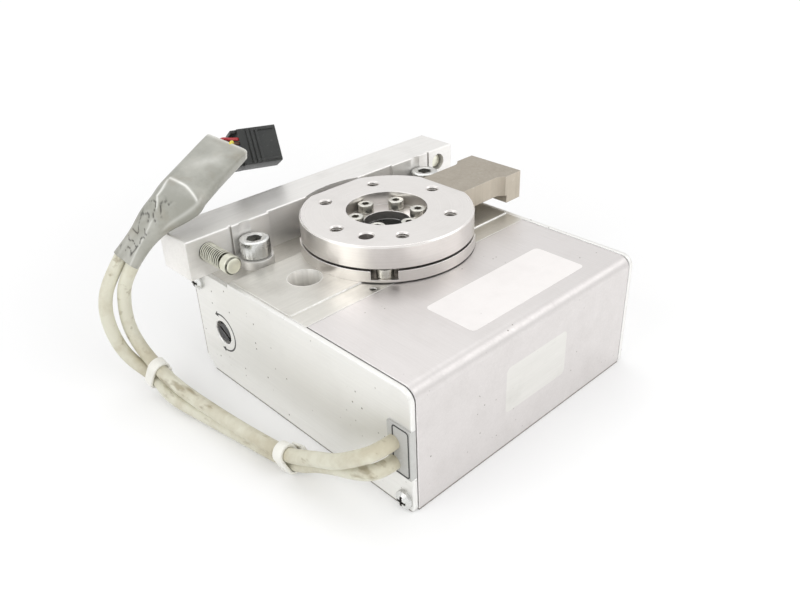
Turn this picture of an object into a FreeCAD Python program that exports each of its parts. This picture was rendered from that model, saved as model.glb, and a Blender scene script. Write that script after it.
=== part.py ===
import FreeCAD, Part
import Sketcher
import math
import os
import re

Vector = FreeCAD.Vector
doc = FreeCAD.newDocument("RotaryTable")

# Driving dimensions in millimetres, measured from the table's axis and from the base plane.
SIZES = {
    # casing
    "body_left": 70.4,
    "body_right": 59.0,
    "body_front": 85.4,
    "body_back": 47.0,
    "plate_thickness": 2.0,
    "top_height": 52.0,
    "band_rise": 0.5,
    "band_half": 19.5,
    "rear_drop": 1.7,
    "housing_front": 29.3,
    "ledge_depth": 4.0,
    "floor_thickness": 3.0,
    "post_height": 9.0,
    "post_width": 6.5,
    "post_length": 10.0,
    "back_chamfer": 6.0,
    "cover_thickness": 1.5,
    "cover_seam": 0.6,
    "bend_radius": 5.0,
    "foot_radius": 2.0,
    "strip_hole": 2.4,
    "strip_hole_at": 33.0,
    "strip_hole_line": 26.6,
    "strip_hole_depth": 5.0,
    "belt_bay": 10.0,
    "belt_bay_half": 15.0,
    "belt_bay_back": 44.0,
    # through holes that fasten the casing down
    "mount_spacing": 92.0,
    "mount_hole": 9.0,
    "mount_counterbore": 14.0,
    "mount_counterbore_depth": 9.0,
    # table
    "table_diameter": 75.0,
    "table_rise": 16.0,
    "table_thickness": 9.8,
    "table_flat": 34.2,
    "rim_chamfer": 0.6,
    "recess_diameter": 35.0,
    "recess_depth": 6.0,
    "bore_diameter": 20.0,
    "bolt_circle": 56.0,
    "bolt_hole": 5.0,
    "hole_chamfer": 0.6,
    "pin_hole": 6.0,
    "pin_hole_angle": 210.0,
    "table_screw_thread": 4.0,
    "table_screw_length": 11.0,
    "table_screw_circle": 27.5,
    # bearing cover ring
    "ring_diameter": 76.2,
    "ring_height": 4.9,
    "ring_notch_width": 11.0,
    "ring_notch_depth": 8.6,
    "ring_notch_floor": 1.0,
    "ring_screw_thread": 4.0,
    "ring_screw_length": 8.0,
    "ring_screw_inset": 4.4,
    # hollow shaft and its bearings
    "shaft_foot": 1.0,
    "shaft_collar": 42.0,
    "wheel_seat": 34.0,
    "upper_bearing_bore": 40.0,
    "upper_bearing_outside": 52.0,
    "upper_bearing_width": 7.0,
    "upper_bearing_ball": 3.2,
    "lower_bearing_bore": 30.0,
    "lower_bearing_outside": 42.0,
    "lower_bearing_width": 7.0,
    "lower_bearing_ball": 3.2,
    "lower_bearing_foot": 5.0,
    "bearing_shoulder": 1.0,
    "spigot_height": 1.0,
    "spacer_wall": 2.0,
    "nut_outside": 36.0,
    "spanner_slot": 4.0,
    "retainer_diameter": 54.0,
    "retainer_screw_thread": 3.0,
    "retainer_screw_length": 8.0,
    "retainer_screw_circle": 48.0,
    # worm gear
    "gear_module": 1.1,
    "wheel_teeth": 40,
    "wheel_width": 9.0,
    "worm_pitch_radius": 7.0,
    "worm_turns": 6,
    "backlash": 0.2,
    "worm_shaft": 10.0,
    "worm_end": 8.0,
    "slot_width": 1.6,
    "slot_depth": 1.5,
    "worm_bearing_outside": 19.0,
    "worm_bearing_width": 5.0,
    "worm_bearing_ball": 2.0,
    "worm_bearing_right": 27.0,
    "override_hole": 11.0,
    "override_setback": 0.4,
    "retaining_ring": 1.2,
    "key_width": 6.0,
    "key_depth": 2.5,
    "key_proud": 1.6,
    # step motor and belt drive
    "motor_side": 42.0,
    "motor_settle": 6.875,
    "motor_corner": 4.0,
    "motor_length": 40.0,
    "motor_shaft": 5.0,
    "motor_wall": 6.0,
    "motor_pilot": 22.0,
    "motor_pilot_height": 2.0,
    "motor_screw_spacing": 31.0,
    "motor_screw_thread": 3.0,
    "motor_screw_length": 9.0,
    "motor_bearing_outside": 16.0,
    "motor_bearing_width": 5.0,
    "motor_bearing_ball": 2.4,
    "motor_inset": 4.2,
    "motor_plate_thickness": 4.0,
    "rotor_diameter": 22.0,
    "rotor_gap": 0.2,
    "encoder_side": 36.0,
    "encoder_length": 16.0,
    "encoder_wall": 1.5,
    "encoder_disc": 26.0,
    "pulley_diameter": 19.0,
    "pulley_width": 5.6,
    "pulley_flange": 0.8,
    "pulley_flange_rise": 2.0,
    "pulley_teeth": 24,
    "pulley_offset": 1.2,
    "belt_width": 5.0,
    "belt_thickness": 1.4,
    "belt_gap": 0.2,
    # stop bar with its two adjuster screws
    "bar_length": 155.0,
    "bar_front": 35.0,
    "bar_back": 55.9,
    "bar_height": 17.3,
    "bar_middle_half": 36.5,
    "bar_middle_step": 1.3,
    "bar_scoop_gap": 1.5,
    "bar_edge": 0.4,
    "bar_groove": 1.0,
    "bar_groove_at": 58.5,
    "bar_groove_shift": 2.4,
    "bar_screw_at": 50.6,
    "bar_screw_shift": 1.2,
    "bar_screw_line": 28.6,
    "bar_screw_thread": 8.0,
    "bar_screw_length": 16.0,
    "bar_tab_radius": 7.4,
    "bar_tab_height": 4.0,
    "adjuster_thread": 8.0,
    "adjuster_at": 68.0,
    "adjuster_drop": 7.0,
    "adjuster_length": 48.0,
    "short_adjuster_length": 25.0,
    "adjuster_reach": 15.7,
    "adjuster_setback": 2.0,
    "adjuster_socket_depth": 5.0,
    "adjuster_tip": 1.0,
    "nut_flats": 13.0,
    "nut_thickness": 5.0,
    # stop arm on the table's flat
    "arm_drop": 0.3,
    "arm_tip_height": 13.3,
    "arm_neck_half": 12.5,
    "arm_tip_half": 15.2,
    "arm_tip_start": 62.0,
    "arm_end": 72.0,
    "arm_flare_radius": 6.0,
    "arm_flare_start": 56.0,
    "arm_edge": 0.4,
    "arm_screw_thread": 4.0,
    "arm_screw_length": 16.0,
    "arm_screw_spacing": 14.0,
    "arm_screw_grip": 8.0,
    "arm_screw_drop": 4.7,
    # side plate screws
    "plate_screw_thread": 3.0,
    "plate_screw_head": 7.4,
    "plate_screw_rise": 2.4,
    "plate_screw_length": 9.0,
    "front_screw_inset": 4.2,
    "front_screw_height": 4.3,
    "back_screw_inset": 3.8,
    "back_screw_drop": 5.5,
    # cable gland, cables and what is on them
    "gland_width": 11.0,
    "gland_bottom": 15.5,
    "gland_height": 21.0,
    "gland_projection": 0.9,
    "gland_depth": 3.0,
    "gland_lip": 1.2,
    "cable_diameter": 5.7,
    "cable_inset": 7.8,
    "upper_cable_height": 28.8,
    "lower_cable_height": 19.8,
    "tie_width": 4.6,
    "tie_wall": 1.1,
    "tie_head": 5.0,
    "tie_slack": 0.15,
    "wire_diameter": 1.6,
    "connector_length": 21.0,
    "connector_height": 17.0,
    "connector_thickness": 11.0,
    # clearances
    "fit_gap": 0.02,
    "thread_gap": 0.05,
    "hole_gap": 0.3,
    "running_gap": 0.5,
}

# Levels and places that follow from the driving dimensions.
PLACES = {
    "inner_left": "body_left - plate_thickness",
    "inner_right": "body_right - plate_thickness",
    "inner_front": "body_front - cover_thickness",
    "ledge_front": "housing_front + ledge_depth",
    "ledge_top": "top_height - cover_thickness",
    "rear_top": "top_height - rear_drop",
    "band_top": "top_height + band_rise",
    "belt_wall": "inner_left - belt_bay",
    "motor_room": "top_height - cover_thickness - floor_thickness - motor_side",
    "drive_height": "floor_thickness + motor_side / 2 + motor_room / motor_settle",
    "mount_at": "mount_spacing / 2",
    "table_radius": "table_diameter / 2",
    "table_top": "top_height + table_rise",
    "table_bottom": "table_top - table_thickness",
    "recess_floor": "table_top - recess_depth",
    "bore_radius": "bore_diameter / 2",
    "ring_top": "band_top + ring_height",
    "ring_screw_circle": "ring_diameter - 2 * ring_screw_inset",
    "ring_notch_inner": "ring_diameter / 2 - ring_notch_depth",
    "ring_bore": "upper_bearing_bore / 2 + spacer_wall + running_gap",
    "upper_bearing_top": "band_top - spigot_height",
    "upper_bearing_foot": "upper_bearing_top - upper_bearing_width",
    "lower_bearing_top": "lower_bearing_foot + lower_bearing_width",
    "wheel_pitch_radius": "gear_module * wheel_teeth / 2",
    "wheel_foot": "drive_height - wheel_width / 2",
    "wheel_top": "drive_height + wheel_width / 2",
    "worm_line": "wheel_pitch_radius + worm_pitch_radius",
    "worm_bore": "worm_bearing_outside / 2 + fit_gap",
    "retainer_screw_seat": "shaft_foot + retainer_screw_thread",
    "motor_line": "ledge_front + motor_inset + motor_side / 2",
    "motor_face": "belt_wall - motor_plate_thickness",
    "motor_end": "motor_face - motor_length",
    "pulley_left": "inner_left - pulley_offset",
    "pulley_right": "pulley_left - pulley_width - 2 * pulley_flange",
    "belt_inside": "pulley_diameter / 2 + belt_gap",
    "bar_half": "bar_length / 2",
    "bar_top": "rear_top + bar_height",
    "bar_scoop_radius": "ring_diameter / 2 + bar_scoop_gap",
    "bar_middle_front": "bar_front + bar_middle_step",
    "adjuster_radius": "adjuster_thread / 2",
    "adjuster_height": "bar_top - adjuster_drop",
    "arm_top": "table_top - arm_drop",
    "arm_tip_foot": "arm_top - arm_tip_height",
    "arm_screw_height": "arm_top - arm_screw_drop",
    "back_screw_height": "rear_top - back_screw_drop",
    "gland_outer": "body_left + gland_projection",
    "cable_line": "body_front - cable_inset",
}

# Patterns of screws: angles about the table's axis, lines across the arm, places on the end plates.
SIXTHS = range(0, 360, 60)
RING_SCREW_ANGLES = (45, 135, 225, 315)
RETAINER_SCREW_ANGLES = (90, 210, 330)
ARM_SCREW_LINES = ("arm_screw_spacing / 2", "-arm_screw_spacing / 2")
PLATE_SCREWS = (
    ("-body_front + front_screw_inset", "front_screw_height"),
    ("body_back - back_screw_inset", "back_screw_height"),
)

# Tooth form of the worm gear: bottom clearance in modules, depth the thread is sunk into its core.
PRESSURE_ANGLE = math.radians(20)
BOTTOM_CLEARANCE = 0.25
THREAD_ROOT = 0.3
SLOT_ANGLE = 30

# Room for each ball of a bearing in ball diameters, and how near an edge's middle is to its place.
BALL_SPACING = 1.5
EDGE_TOLERANCE = 0.01

sheet = doc.addObject("Spreadsheet::Sheet", "Sizes")
for row, (alias, number) in enumerate(SIZES.items(), start=1):
    sheet.set(f"A{row}", alias)
    sheet.set(f"B{row}", str(number))
    sheet.setAlias(f"B{row}", alias)
doc.recompute()


def formula(text):
    """Spell a formula in the sheet's own cells."""

    def spell(match):
        word = match.group()
        if word in PLACES:
            return "(" + formula(PLACES[word]) + ")"
        if word in SIZES:
            return "Sizes." + word
        return word

    return re.sub(r"[a-z][a-z_]*", spell, str(text))


gauge = doc.addObject("App::FeaturePython", "Gauge")
gauge.addProperty("App::PropertyFloat", "reading")


def value(text):
    """What a formula comes to, as a plain number."""
    gauge.setExpression("reading", formula(text))
    gauge.recompute()
    return gauge.reading


def place(obj, x, y, z):
    """Bind an object's position to three formulas."""
    for axis, text in zip("xyz", (x, y, z)):
        obj.setExpression(f"Placement.Base.{axis}", formula(text))


UPRIGHT = FreeCAD.Rotation()
ALONG_X = FreeCAD.Rotation(Vector(0, 1, 0), 90)
AGAINST_X = FreeCAD.Rotation(Vector(0, 1, 0), -90)
ALONG_Y = FreeCAD.Rotation(Vector(1, 0, 0), -90)
AGAINST_Z = FreeCAD.Rotation(Vector(1, 0, 0), 180)
HALF_TURN = FreeCAD.Rotation(Vector(0, 0, 1), 180)
WORM_TURN = FreeCAD.Rotation(Vector(0, -1, 0), Vector(0, 0, -1), Vector(1, 0, 0), "ZXY")


def box(name, low, high, turn=0):
    """A block between two corners, turned about the table's axis."""
    block = doc.addObject("Part::Box", name)
    for prop, start, end in zip(("Length", "Width", "Height"), low, high):
        block.setExpression(prop, formula(f"({end}) - ({start})"))
    block.Placement = FreeCAD.Placement(Vector(), FreeCAD.Rotation(Vector(0, 0, 1), turn))
    x, y, z = low
    place(
        block,
        f"({x}) * cos({turn}) - ({y}) * sin({turn})",
        f"({x}) * sin({turn}) + ({y}) * cos({turn})",
        z,
    )
    return block


def rod(name, radius, start, end, x=0, y=0, z=0):
    """A cylinder up from start to end, or along X or Y where that place is the word along."""
    cylinder = doc.addObject("Part::Cylinder", name)
    cylinder.setExpression("Radius", formula(radius))
    cylinder.setExpression("Height", formula(f"({end}) - ({start})"))
    rotation = ALONG_X if x == "along" else ALONG_Y if y == "along" else UPRIGHT
    cylinder.Placement = FreeCAD.Placement(Vector(), rotation)
    if x == "along":
        place(cylinder, start, y, z)
    elif y == "along":
        place(cylinder, x, start, z)
    else:
        place(cylinder, x, y, start)
    return cylinder


def cone(name, low_radius, high_radius, start, end, x=0, y=0):
    """An upright frustum from start to end."""
    frustum = doc.addObject("Part::Cone", name)
    frustum.setExpression("Radius1", formula(low_radius))
    frustum.setExpression("Radius2", formula(high_radius))
    frustum.setExpression("Height", formula(f"({end}) - ({start})"))
    place(frustum, x, y, start)
    return frustum


def fuse(name, shapes):
    """One solid from several that touch."""
    union = doc.addObject("Part::MultiFuse", name)
    union.Shapes = shapes
    union.Refine = True
    return union


def cut(name, base, tools):
    """A base with the tools taken away."""
    difference = doc.addObject("Part::Cut", name)
    difference.Base = base
    difference.Tool = tools[0] if len(tools) == 1 else fuse(name + "_tools", tools)
    difference.Refine = True
    return difference


def common(name, shapes):
    """What several shapes share."""
    shared = doc.addObject("Part::MultiCommon", name)
    shared.Shapes = shapes
    return shared


def group(name, solids):
    """Separate solids that share one node."""
    compound = doc.addObject("Part::Compound", name)
    compound.Links = solids
    return compound


SUB_PARTS = []


def sub_part(node, obj):
    """Register an object as a piece of the product under its node's name."""
    obj.Label = node
    SUB_PARTS.append(obj)
    return obj


def polar(circle, angle):
    """Formulas for a point on a circle of holes."""
    return f"{circle} / 2 * cos({angle})", f"{circle} / 2 * sin({angle})"


def cap_screw(name, kind, x, y, z, rotation=UPRIGHT):
    """A socket head cap screw with the underside of its head at a point."""
    thread = f"{kind}_thread"
    head_radius = f"({thread} * 1.5 + 1) / 2"
    head = rod(name + "_head", head_radius, 0, thread)
    shank = rod(name + "_shank", f"{thread} / 2", f"-{kind}_length", 0)
    socket = doc.addObject("Part::Prism", name + "_socket")
    socket.Polygon = 6
    socket.setExpression("Circumradius", formula(f"{thread} * 0.44"))
    socket.setExpression("Height", formula(thread))
    place(socket, 0, 0, f"{thread} * 0.5")
    screw = cut(name, fuse(name + "_blank", [head, shank]), [socket])
    screw.Placement = FreeCAD.Placement(Vector(), rotation)
    place(screw, x, y, z)
    return screw


def polygon_body(name, plane, offset, length, corners, circles=()):
    """A padded outline: corners and circles are formulas, on an origin plane moved by an offset."""
    body = doc.addObject("PartDesign::Body", name)
    sketch = body.newObject("Sketcher::SketchObject", name + "_outline")
    support = next(f for f in body.Origin.OriginFeatures if f.Role == plane)
    sketch.AttachmentSupport = [(support, "")]
    sketch.MapMode = "FlatFace"
    sketch.setExpression("AttachmentOffset.Base.z", formula(offset))
    points = [Vector(value(u), value(v), 0) for u, v in corners]
    for index, point in enumerate(points):
        sketch.addGeometry(Part.LineSegment(point, points[(index + 1) % len(points)]), False)
    for index in range(len(corners)):
        sketch.addConstraint(Sketcher.Constraint("Coincident", index, 2, (index + 1) % len(corners), 1))
    for index, (u, v) in enumerate(corners):
        bind_point(sketch, index, 1, u, v)
    for u, v, radius in circles:
        circle = Part.Circle(Vector(value(u), value(v), 0), Vector(0, 0, 1), value(radius))
        index = sketch.addGeometry(circle, False)
        bind_point(sketch, index, 3, u, v)
        constraint = sketch.addConstraint(Sketcher.Constraint("Radius", index, value(radius)))
        sketch.setExpression(f"Constraints[{constraint}]", formula(radius))
    pad = body.newObject("PartDesign::Pad", name + "_pad")
    pad.Profile = sketch
    pad.setExpression("Length", formula(length))
    doc.recompute()
    return body, pad


def bind_point(sketch, geometry, end, u, v):
    """Bind a sketch point to two formulas measured from the sketch's origin."""
    for kind, text in (("DistanceX", u), ("DistanceY", v)):
        constraint = sketch.addConstraint(Sketcher.Constraint(kind, -1, 1, geometry, end, value(text)))
        sketch.setExpression(f"Constraints[{constraint}]", formula(text))


def round_edges(body, base, name, radius, test):
    """Round those edges of a feature whose middle passes a test."""
    edges = [f"Edge{i}" for i, e in enumerate(base.Shape.Edges, start=1) if test(e.CenterOfMass)]
    fillet = body.newObject("PartDesign::Fillet", name)
    fillet.Base = (base, edges)
    fillet.setExpression("Radius", formula(radius))
    doc.recompute()
    return fillet


def ball_bearing(name, kind, bore, foot, rotation=UPRIGHT, y=0, z=0):
    """Outer race, inner race and balls of a deep groove bearing with its foot at a place on an axis."""
    outside, width, ball = f"{kind}_outside", f"{kind}_width", f"{kind}_ball"
    pitch_radius = f"({bore} + {outside}) / 4"
    groove = doc.addObject("Part::Torus", name + "_groove")
    groove.setExpression("Radius1", formula(pitch_radius))
    groove.setExpression("Radius2", formula(f"{ball} / 2 + fit_gap"))
    place(groove, 0, 0, f"{width} / 2")
    outer = cut(
        name + "_outer",
        rod(name + "_outer_blank", f"{outside} / 2", 0, width),
        [rod(name + "_outer_land", f"{pitch_radius} + {ball} / 4", "-1", f"{width} + 1"), groove],
    )
    inner = cut(
        name + "_inner",
        rod(name + "_inner_blank", f"{pitch_radius} - {ball} / 4", 0, width),
        [rod(name + "_inner_bore", f"{bore} / 2 + fit_gap", "-1", f"{width} + 1"), groove],
    )
    count = int(2 * math.pi * value(pitch_radius) / (BALL_SPACING * value(ball)))
    balls = []
    for index in range(count):
        sphere = doc.addObject("Part::Sphere", f"{name}_ball_{index}")
        sphere.setExpression("Radius", formula(f"{ball} / 2"))
        angle = 360 * index / count
        place(sphere, f"{pitch_radius} * cos({angle})", f"{pitch_radius} * sin({angle})", f"{width} / 2")
        balls.append(sphere)
    pieces = [outer, inner, group(name + "_balls", balls)]
    for piece in pieces:
        piece.Placement = FreeCAD.Placement(Vector(), rotation)
        if rotation == UPRIGHT:
            place(piece, 0, 0, foot)
        else:
            place(piece, foot, y, z)
    return pieces


def back_wedge(name, start, end):
    """The three-sided bar that takes the chamfer off the lower back edge."""
    wedge = doc.addObject("Part::Wedge", name)
    for prop in ("Xmin", "Ymin", "Zmin", "X2min", "Z2min", "Z2max"):
        wedge.setExpression(prop, "0")
    for prop in ("Xmax", "X2max"):
        wedge.setExpression(prop, formula(f"({end}) - ({start})"))
    for prop in ("Ymax", "Zmax"):
        wedge.setExpression(prop, formula("back_chamfer"))
    wedge.Placement = FreeCAD.Placement(Vector(), HALF_TURN)
    place(wedge, end, "body_back", 0)
    return wedge


# Casing

def housing():
    """The machined block that carries the bearings, the worm and the motor."""
    left, right = "-inner_left", "inner_right"
    blocks = [
        box("housing_rear", (left, "band_half", 0), (right, "body_back", "rear_top")),
        box("housing_band", (left, "-band_half", 0), (right, "band_half", "band_top")),
        box("housing_strip", (left, "-housing_front", 0), (right, "-band_half", "top_height")),
        box("housing_ledge", (left, "-ledge_front", 0), (right, "-housing_front", "ledge_top")),
        box("housing_floor", (left, "-inner_front", 0), (right, "-ledge_front", "floor_thickness")),
    ]
    posts = (("left", left, f"{left} + post_length"), ("right", f"{right} - post_length", right))
    for side, start, end in posts:
        low = (start, "-inner_front", "floor_thickness")
        high = (end, "-inner_front + post_width", "post_height")
        blocks.append(box("housing_post_" + side, low, high))
    shoulder_radius = "upper_bearing_outside / 2 - bearing_shoulder"
    tools = [
        rod("upper_seat", "upper_bearing_outside / 2 + fit_gap", "upper_bearing_foot", "band_top + 1"),
        rod("wheel_bay", shoulder_radius, "wheel_foot - 1", "upper_bearing_foot"),
        rod("neck", "lower_bearing_outside / 2 - bearing_shoulder", "lower_bearing_top", "wheel_foot - 1"),
        rod("lower_seat", "lower_bearing_outside / 2 + fit_gap", "lower_bearing_foot", "lower_bearing_top"),
        rod("retainer_seat", "retainer_diameter / 2 + hole_gap", -1, "lower_bearing_foot"),
        rod(
            "worm_tunnel", "worm_bore", "-belt_wall - 1", "worm_bearing_right + fit_gap",
            x="along", y="worm_line", z="drive_height",
        ),
        box(
            "belt_bay_space",
            (f"{left} - 1", "-ledge_front - 1", "drive_height - belt_bay_half"),
            ("-belt_wall", "belt_bay_back", "drive_height + belt_bay_half"),
        ),
        rod("strip_dimple", "strip_hole / 2", "top_height - strip_hole_depth", "top_height + 1",
            "-strip_hole_at", "-strip_hole_line"),
        back_wedge("housing_chamfer", left, right),
    ]
    for side, sign in (("left", "-"), ("right", "")):
        x = sign + "mount_at"
        counterbore_floor = "band_top - mount_counterbore_depth"
        tools.append(rod("mount_hole_" + side, "mount_hole / 2", -1, "band_top + 1", x))
        tools.append(rod("mount_bore_" + side, "mount_counterbore / 2", counterbore_floor, "band_top + 1", x))
        bar_screw_end = "rear_top + bar_tab_height - bar_screw_length - 1"
        tools.append(rod("bar_tapping_" + side, "bar_screw_thread / 2 + thread_gap", bar_screw_end,
                         "rear_top + 1", sign + "bar_screw_at + bar_screw_shift", "bar_screw_line"))
        for index, (y, z) in enumerate(PLATE_SCREWS):
            deep = "plate_screw_length - plate_thickness + 1"
            start, end = (f"{left} - 1", f"{left} + {deep}")
            if side == "right":
                start, end = (f"{right} - ({deep})", f"{right} + 1")
            tools.append(rod(f"plate_tapping_{side}_{index}", "plate_screw_thread / 2 + thread_gap",
                             start, end, x="along", y=y, z=z))
    for index, angle in enumerate(RING_SCREW_ANGLES):
        x, y = polar("ring_screw_circle", angle)
        tools.append(rod(f"ring_tapping_{index}", "ring_screw_thread / 2 + thread_gap",
                         "band_top + ring_notch_floor - ring_screw_length - 1", "band_top + 1", x, y))
    for index, angle in enumerate(RETAINER_SCREW_ANGLES):
        x, y = polar("retainer_screw_circle", angle)
        tools.append(rod(f"retainer_tapping_{index}", "retainer_screw_thread / 2 + thread_gap",
                         "lower_bearing_foot - 1", "retainer_screw_seat + retainer_screw_length + 1", x, y))
    sub_part("housing", cut("housing", fuse("housing_blank", blocks), tools))


def side_plate(side, offset, notch, circles):
    """A flat end plate with the casing's profile, a rounded front and screw holes."""
    corners = [
        ("-body_front", "0"),
        ("body_back - back_chamfer", "0"),
        ("body_back", "back_chamfer"),
        ("body_back", "rear_top"),
        ("band_half", "rear_top"),
        ("band_half", "top_height"),
        ("-body_front", "top_height"),
    ]
    screw_holes = [(y, z, "plate_screw_thread / 2 + hole_gap / 2") for y, z in PLATE_SCREWS]
    name = side + "_side_plate"
    holes = screw_holes + circles
    body, pad = polygon_body(name, "YZ_Plane", offset, "plate_thickness", corners + notch, holes)
    front, top = -value("body_front"), value("top_height")
    bend = round_edges(body, pad, name + "_bend", "bend_radius", lambda at: near(at, front, top))
    round_edges(body, bend, name + "_foot", "foot_radius", lambda at: near(at, front, 0))
    sub_part(name, body)


def near(at, y, z):
    """Whether an edge's middle lies on a line along X."""
    return math.hypot(at.y - y, at.z - z) < EDGE_TOLERANCE


def casing():
    """Housing, end plates, bent cover and cable gland."""
    housing()
    gland_edge, gland_top = "-body_front + gland_width", "gland_bottom + gland_height"
    gland_notch = [
        ("-body_front", gland_top),
        (gland_edge, gland_top),
        (gland_edge, "gland_bottom"),
        ("-body_front", "gland_bottom"),
    ]
    override = [("worm_line", "drive_height", "override_hole / 2")]
    side_plate("left", "-body_left", gland_notch, override)
    side_plate("right", "inner_right", [], [])
    corners = [
        ("-body_front", "0"),
        ("-inner_front", "0"),
        ("-inner_front", "ledge_top"),
        ("-housing_front", "ledge_top"),
        ("-housing_front", "top_height"),
        ("-body_front", "top_height"),
    ]
    body, pad = polygon_body("motor_cover", "YZ_Plane", "-inner_left + cover_seam",
                             "inner_left + inner_right - 2 * cover_seam", corners)
    front, top = -value("body_front"), value("top_height")
    inner_front, ledge_top = -value("inner_front"), value("ledge_top")
    bend = round_edges(body, pad, "cover_bend", "bend_radius", lambda at: near(at, front, top))
    inside = "bend_radius - cover_thickness"
    round_edges(body, bend, "cover_bend_inside", inside, lambda at: near(at, inner_front, ledge_top))
    sub_part("motor_cover", body)
    plug = box(
        "gland_plug",
        ("-gland_outer", "-body_front", "gland_bottom + fit_gap"),
        ("-inner_left", f"{gland_edge} - fit_gap", f"{gland_top} - fit_gap"),
    )
    flange = box(
        "gland_flange",
        ("-inner_left", "-inner_front + fit_gap", "gland_bottom - gland_lip"),
        ("-inner_left + gland_depth", f"{gland_edge} + gland_lip", f"{gland_top} + gland_lip"),
    )
    sub_part("cable_gland", fuse("cable_gland", [plug, flange]))


# Table, hollow shaft and bearings

def table():
    """The turning disc with two flats, a stepped recess and its ring of tapped holes."""
    chamfer_foot = "table_top - rim_chamfer"
    disc = fuse("table_disc", [
        rod("table_blank", "table_radius", "table_bottom", chamfer_foot),
        cone("table_rim", "table_radius", "table_radius - rim_chamfer", chamfer_foot, "table_top"),
    ])
    low = ("-table_diameter", "-table_diameter", "table_bottom - 1")
    flats = box("table_flats", low, ("table_flat", "table_flat", "table_top + 1"))
    tools = [
        rod("table_recess", "recess_diameter / 2", "recess_floor", "table_top + 1"),
        rod("table_bore", "bore_radius", "table_bottom - 1", "recess_floor"),
    ]
    mouth_foot = "table_top - hole_chamfer"
    holes = [("bolt_hole", angle) for angle in SIXTHS] + [("pin_hole", "pin_hole_angle")]
    for index, (hole, angle) in enumerate(holes):
        x, y = polar("bolt_circle", angle)
        radius, mouth = f"{hole} / 2", f"{hole} / 2 + hole_chamfer"
        tools.append(rod(f"table_hole_{index}", radius, "table_bottom - 1", "table_top + 1", x, y))
        tools.append(cone(f"table_mouth_{index}", radius, mouth, mouth_foot, "table_top", x, y))
    for index, angle in enumerate(SIXTHS):
        x, y = polar("table_screw_circle", angle + 30)
        radius = "table_screw_thread / 2 + hole_gap"
        tools.append(rod(f"table_screw_hole_{index}", radius, "table_bottom - 1", "recess_floor + 1", x, y))
    for index, y in enumerate(ARM_SCREW_LINES):
        tools.append(rod(f"arm_tapping_{index}", "arm_screw_thread / 2 + thread_gap",
                         "table_flat - arm_screw_grip - 1", "table_flat + 1",
                         x="along", y=y, z="arm_screw_height"))
    sub_part("table", cut("table", common("table_profile", [disc, flats]), tools))
    screws = []
    for index, angle in enumerate(SIXTHS):
        x, y = polar("table_screw_circle", angle + 30)
        screws.append(cap_screw(f"table_screw_{index}", "table_screw", x, y, "recess_floor"))
    sub_part("table_screws", group("table_screws", screws))


def hollow_shaft():
    """The stepped tube under the table, with the wheel's key, a spacer and the foot nut."""
    key_side = "wheel_seat / 2"
    steps = [
        rod("shaft_lower", "lower_bearing_bore / 2", "shaft_foot", "lower_bearing_top"),
        rod("shaft_seat", key_side, "lower_bearing_top", "wheel_top"),
        rod("shaft_collar_step", "shaft_collar / 2", "wheel_top", "upper_bearing_foot"),
        rod("shaft_upper", "upper_bearing_bore / 2", "upper_bearing_foot", "table_bottom"),
    ]
    keyway = box(
        "shaft_keyway",
        ("-key_width / 2", f"-{key_side} - 1", "wheel_foot"),
        ("key_width / 2", f"-{key_side} + key_depth", "wheel_top"),
    )
    tools = [rod("shaft_bore", "bore_radius", "shaft_foot - 1", "table_bottom + 1"), keyway]
    for index, angle in enumerate(SIXTHS):
        x, y = polar("table_screw_circle", angle + 30)
        tools.append(rod(f"shaft_tapping_{index}", "table_screw_thread / 2 + thread_gap",
                         "recess_floor - table_screw_length - 1", "table_bottom + 1", x, y))
    sub_part("hollow_shaft", cut("hollow_shaft", fuse("shaft_blank", steps), tools))
    key = box(
        "wheel_key",
        ("-key_width / 2 + fit_gap", f"-{key_side} - key_proud", "wheel_foot"),
        ("key_width / 2 - fit_gap", f"-{key_side} + key_depth - fit_gap", "wheel_top - fit_gap"),
    )
    sub_part("wheel_key", key)
    inside, outside = "upper_bearing_bore / 2 + fit_gap", "upper_bearing_bore / 2 + spacer_wall"
    spacer = rod("table_spacer_blank", outside, "upper_bearing_top", "table_bottom")
    opening = rod("table_spacer_bore", inside, "upper_bearing_top - 1", "table_bottom + 1")
    sub_part("table_spacer", cut("table_spacer", spacer, [opening]))
    sleeve = rod("wheel_spacer_blank", f"{key_side} + spacer_wall", "lower_bearing_top", "wheel_foot")
    opening = rod("wheel_spacer_bore", f"{key_side} + fit_gap", "lower_bearing_top - 1", "wheel_foot + 1")
    sub_part("wheel_spacer", cut("wheel_spacer", sleeve, [opening]))
    nut = rod("shaft_nut_blank", "nut_outside / 2", "shaft_foot", "lower_bearing_foot")
    thread = "lower_bearing_bore / 2 + thread_gap"
    tools = [rod("shaft_nut_bore", thread, "shaft_foot - 1", "lower_bearing_foot + 1")]
    for index, angle in enumerate(range(0, 360, 90)):
        low = ("nut_outside / 2 - spanner_slot / 2", "-spanner_slot / 2", "shaft_foot - 1")
        high = ("nut_outside / 2 + 1", "spanner_slot / 2", "lower_bearing_foot + 1")
        tools.append(box(f"spanner_slot_{index}", low, high, angle))
    sub_part("shaft_nut", cut("shaft_nut", nut, tools))


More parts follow.
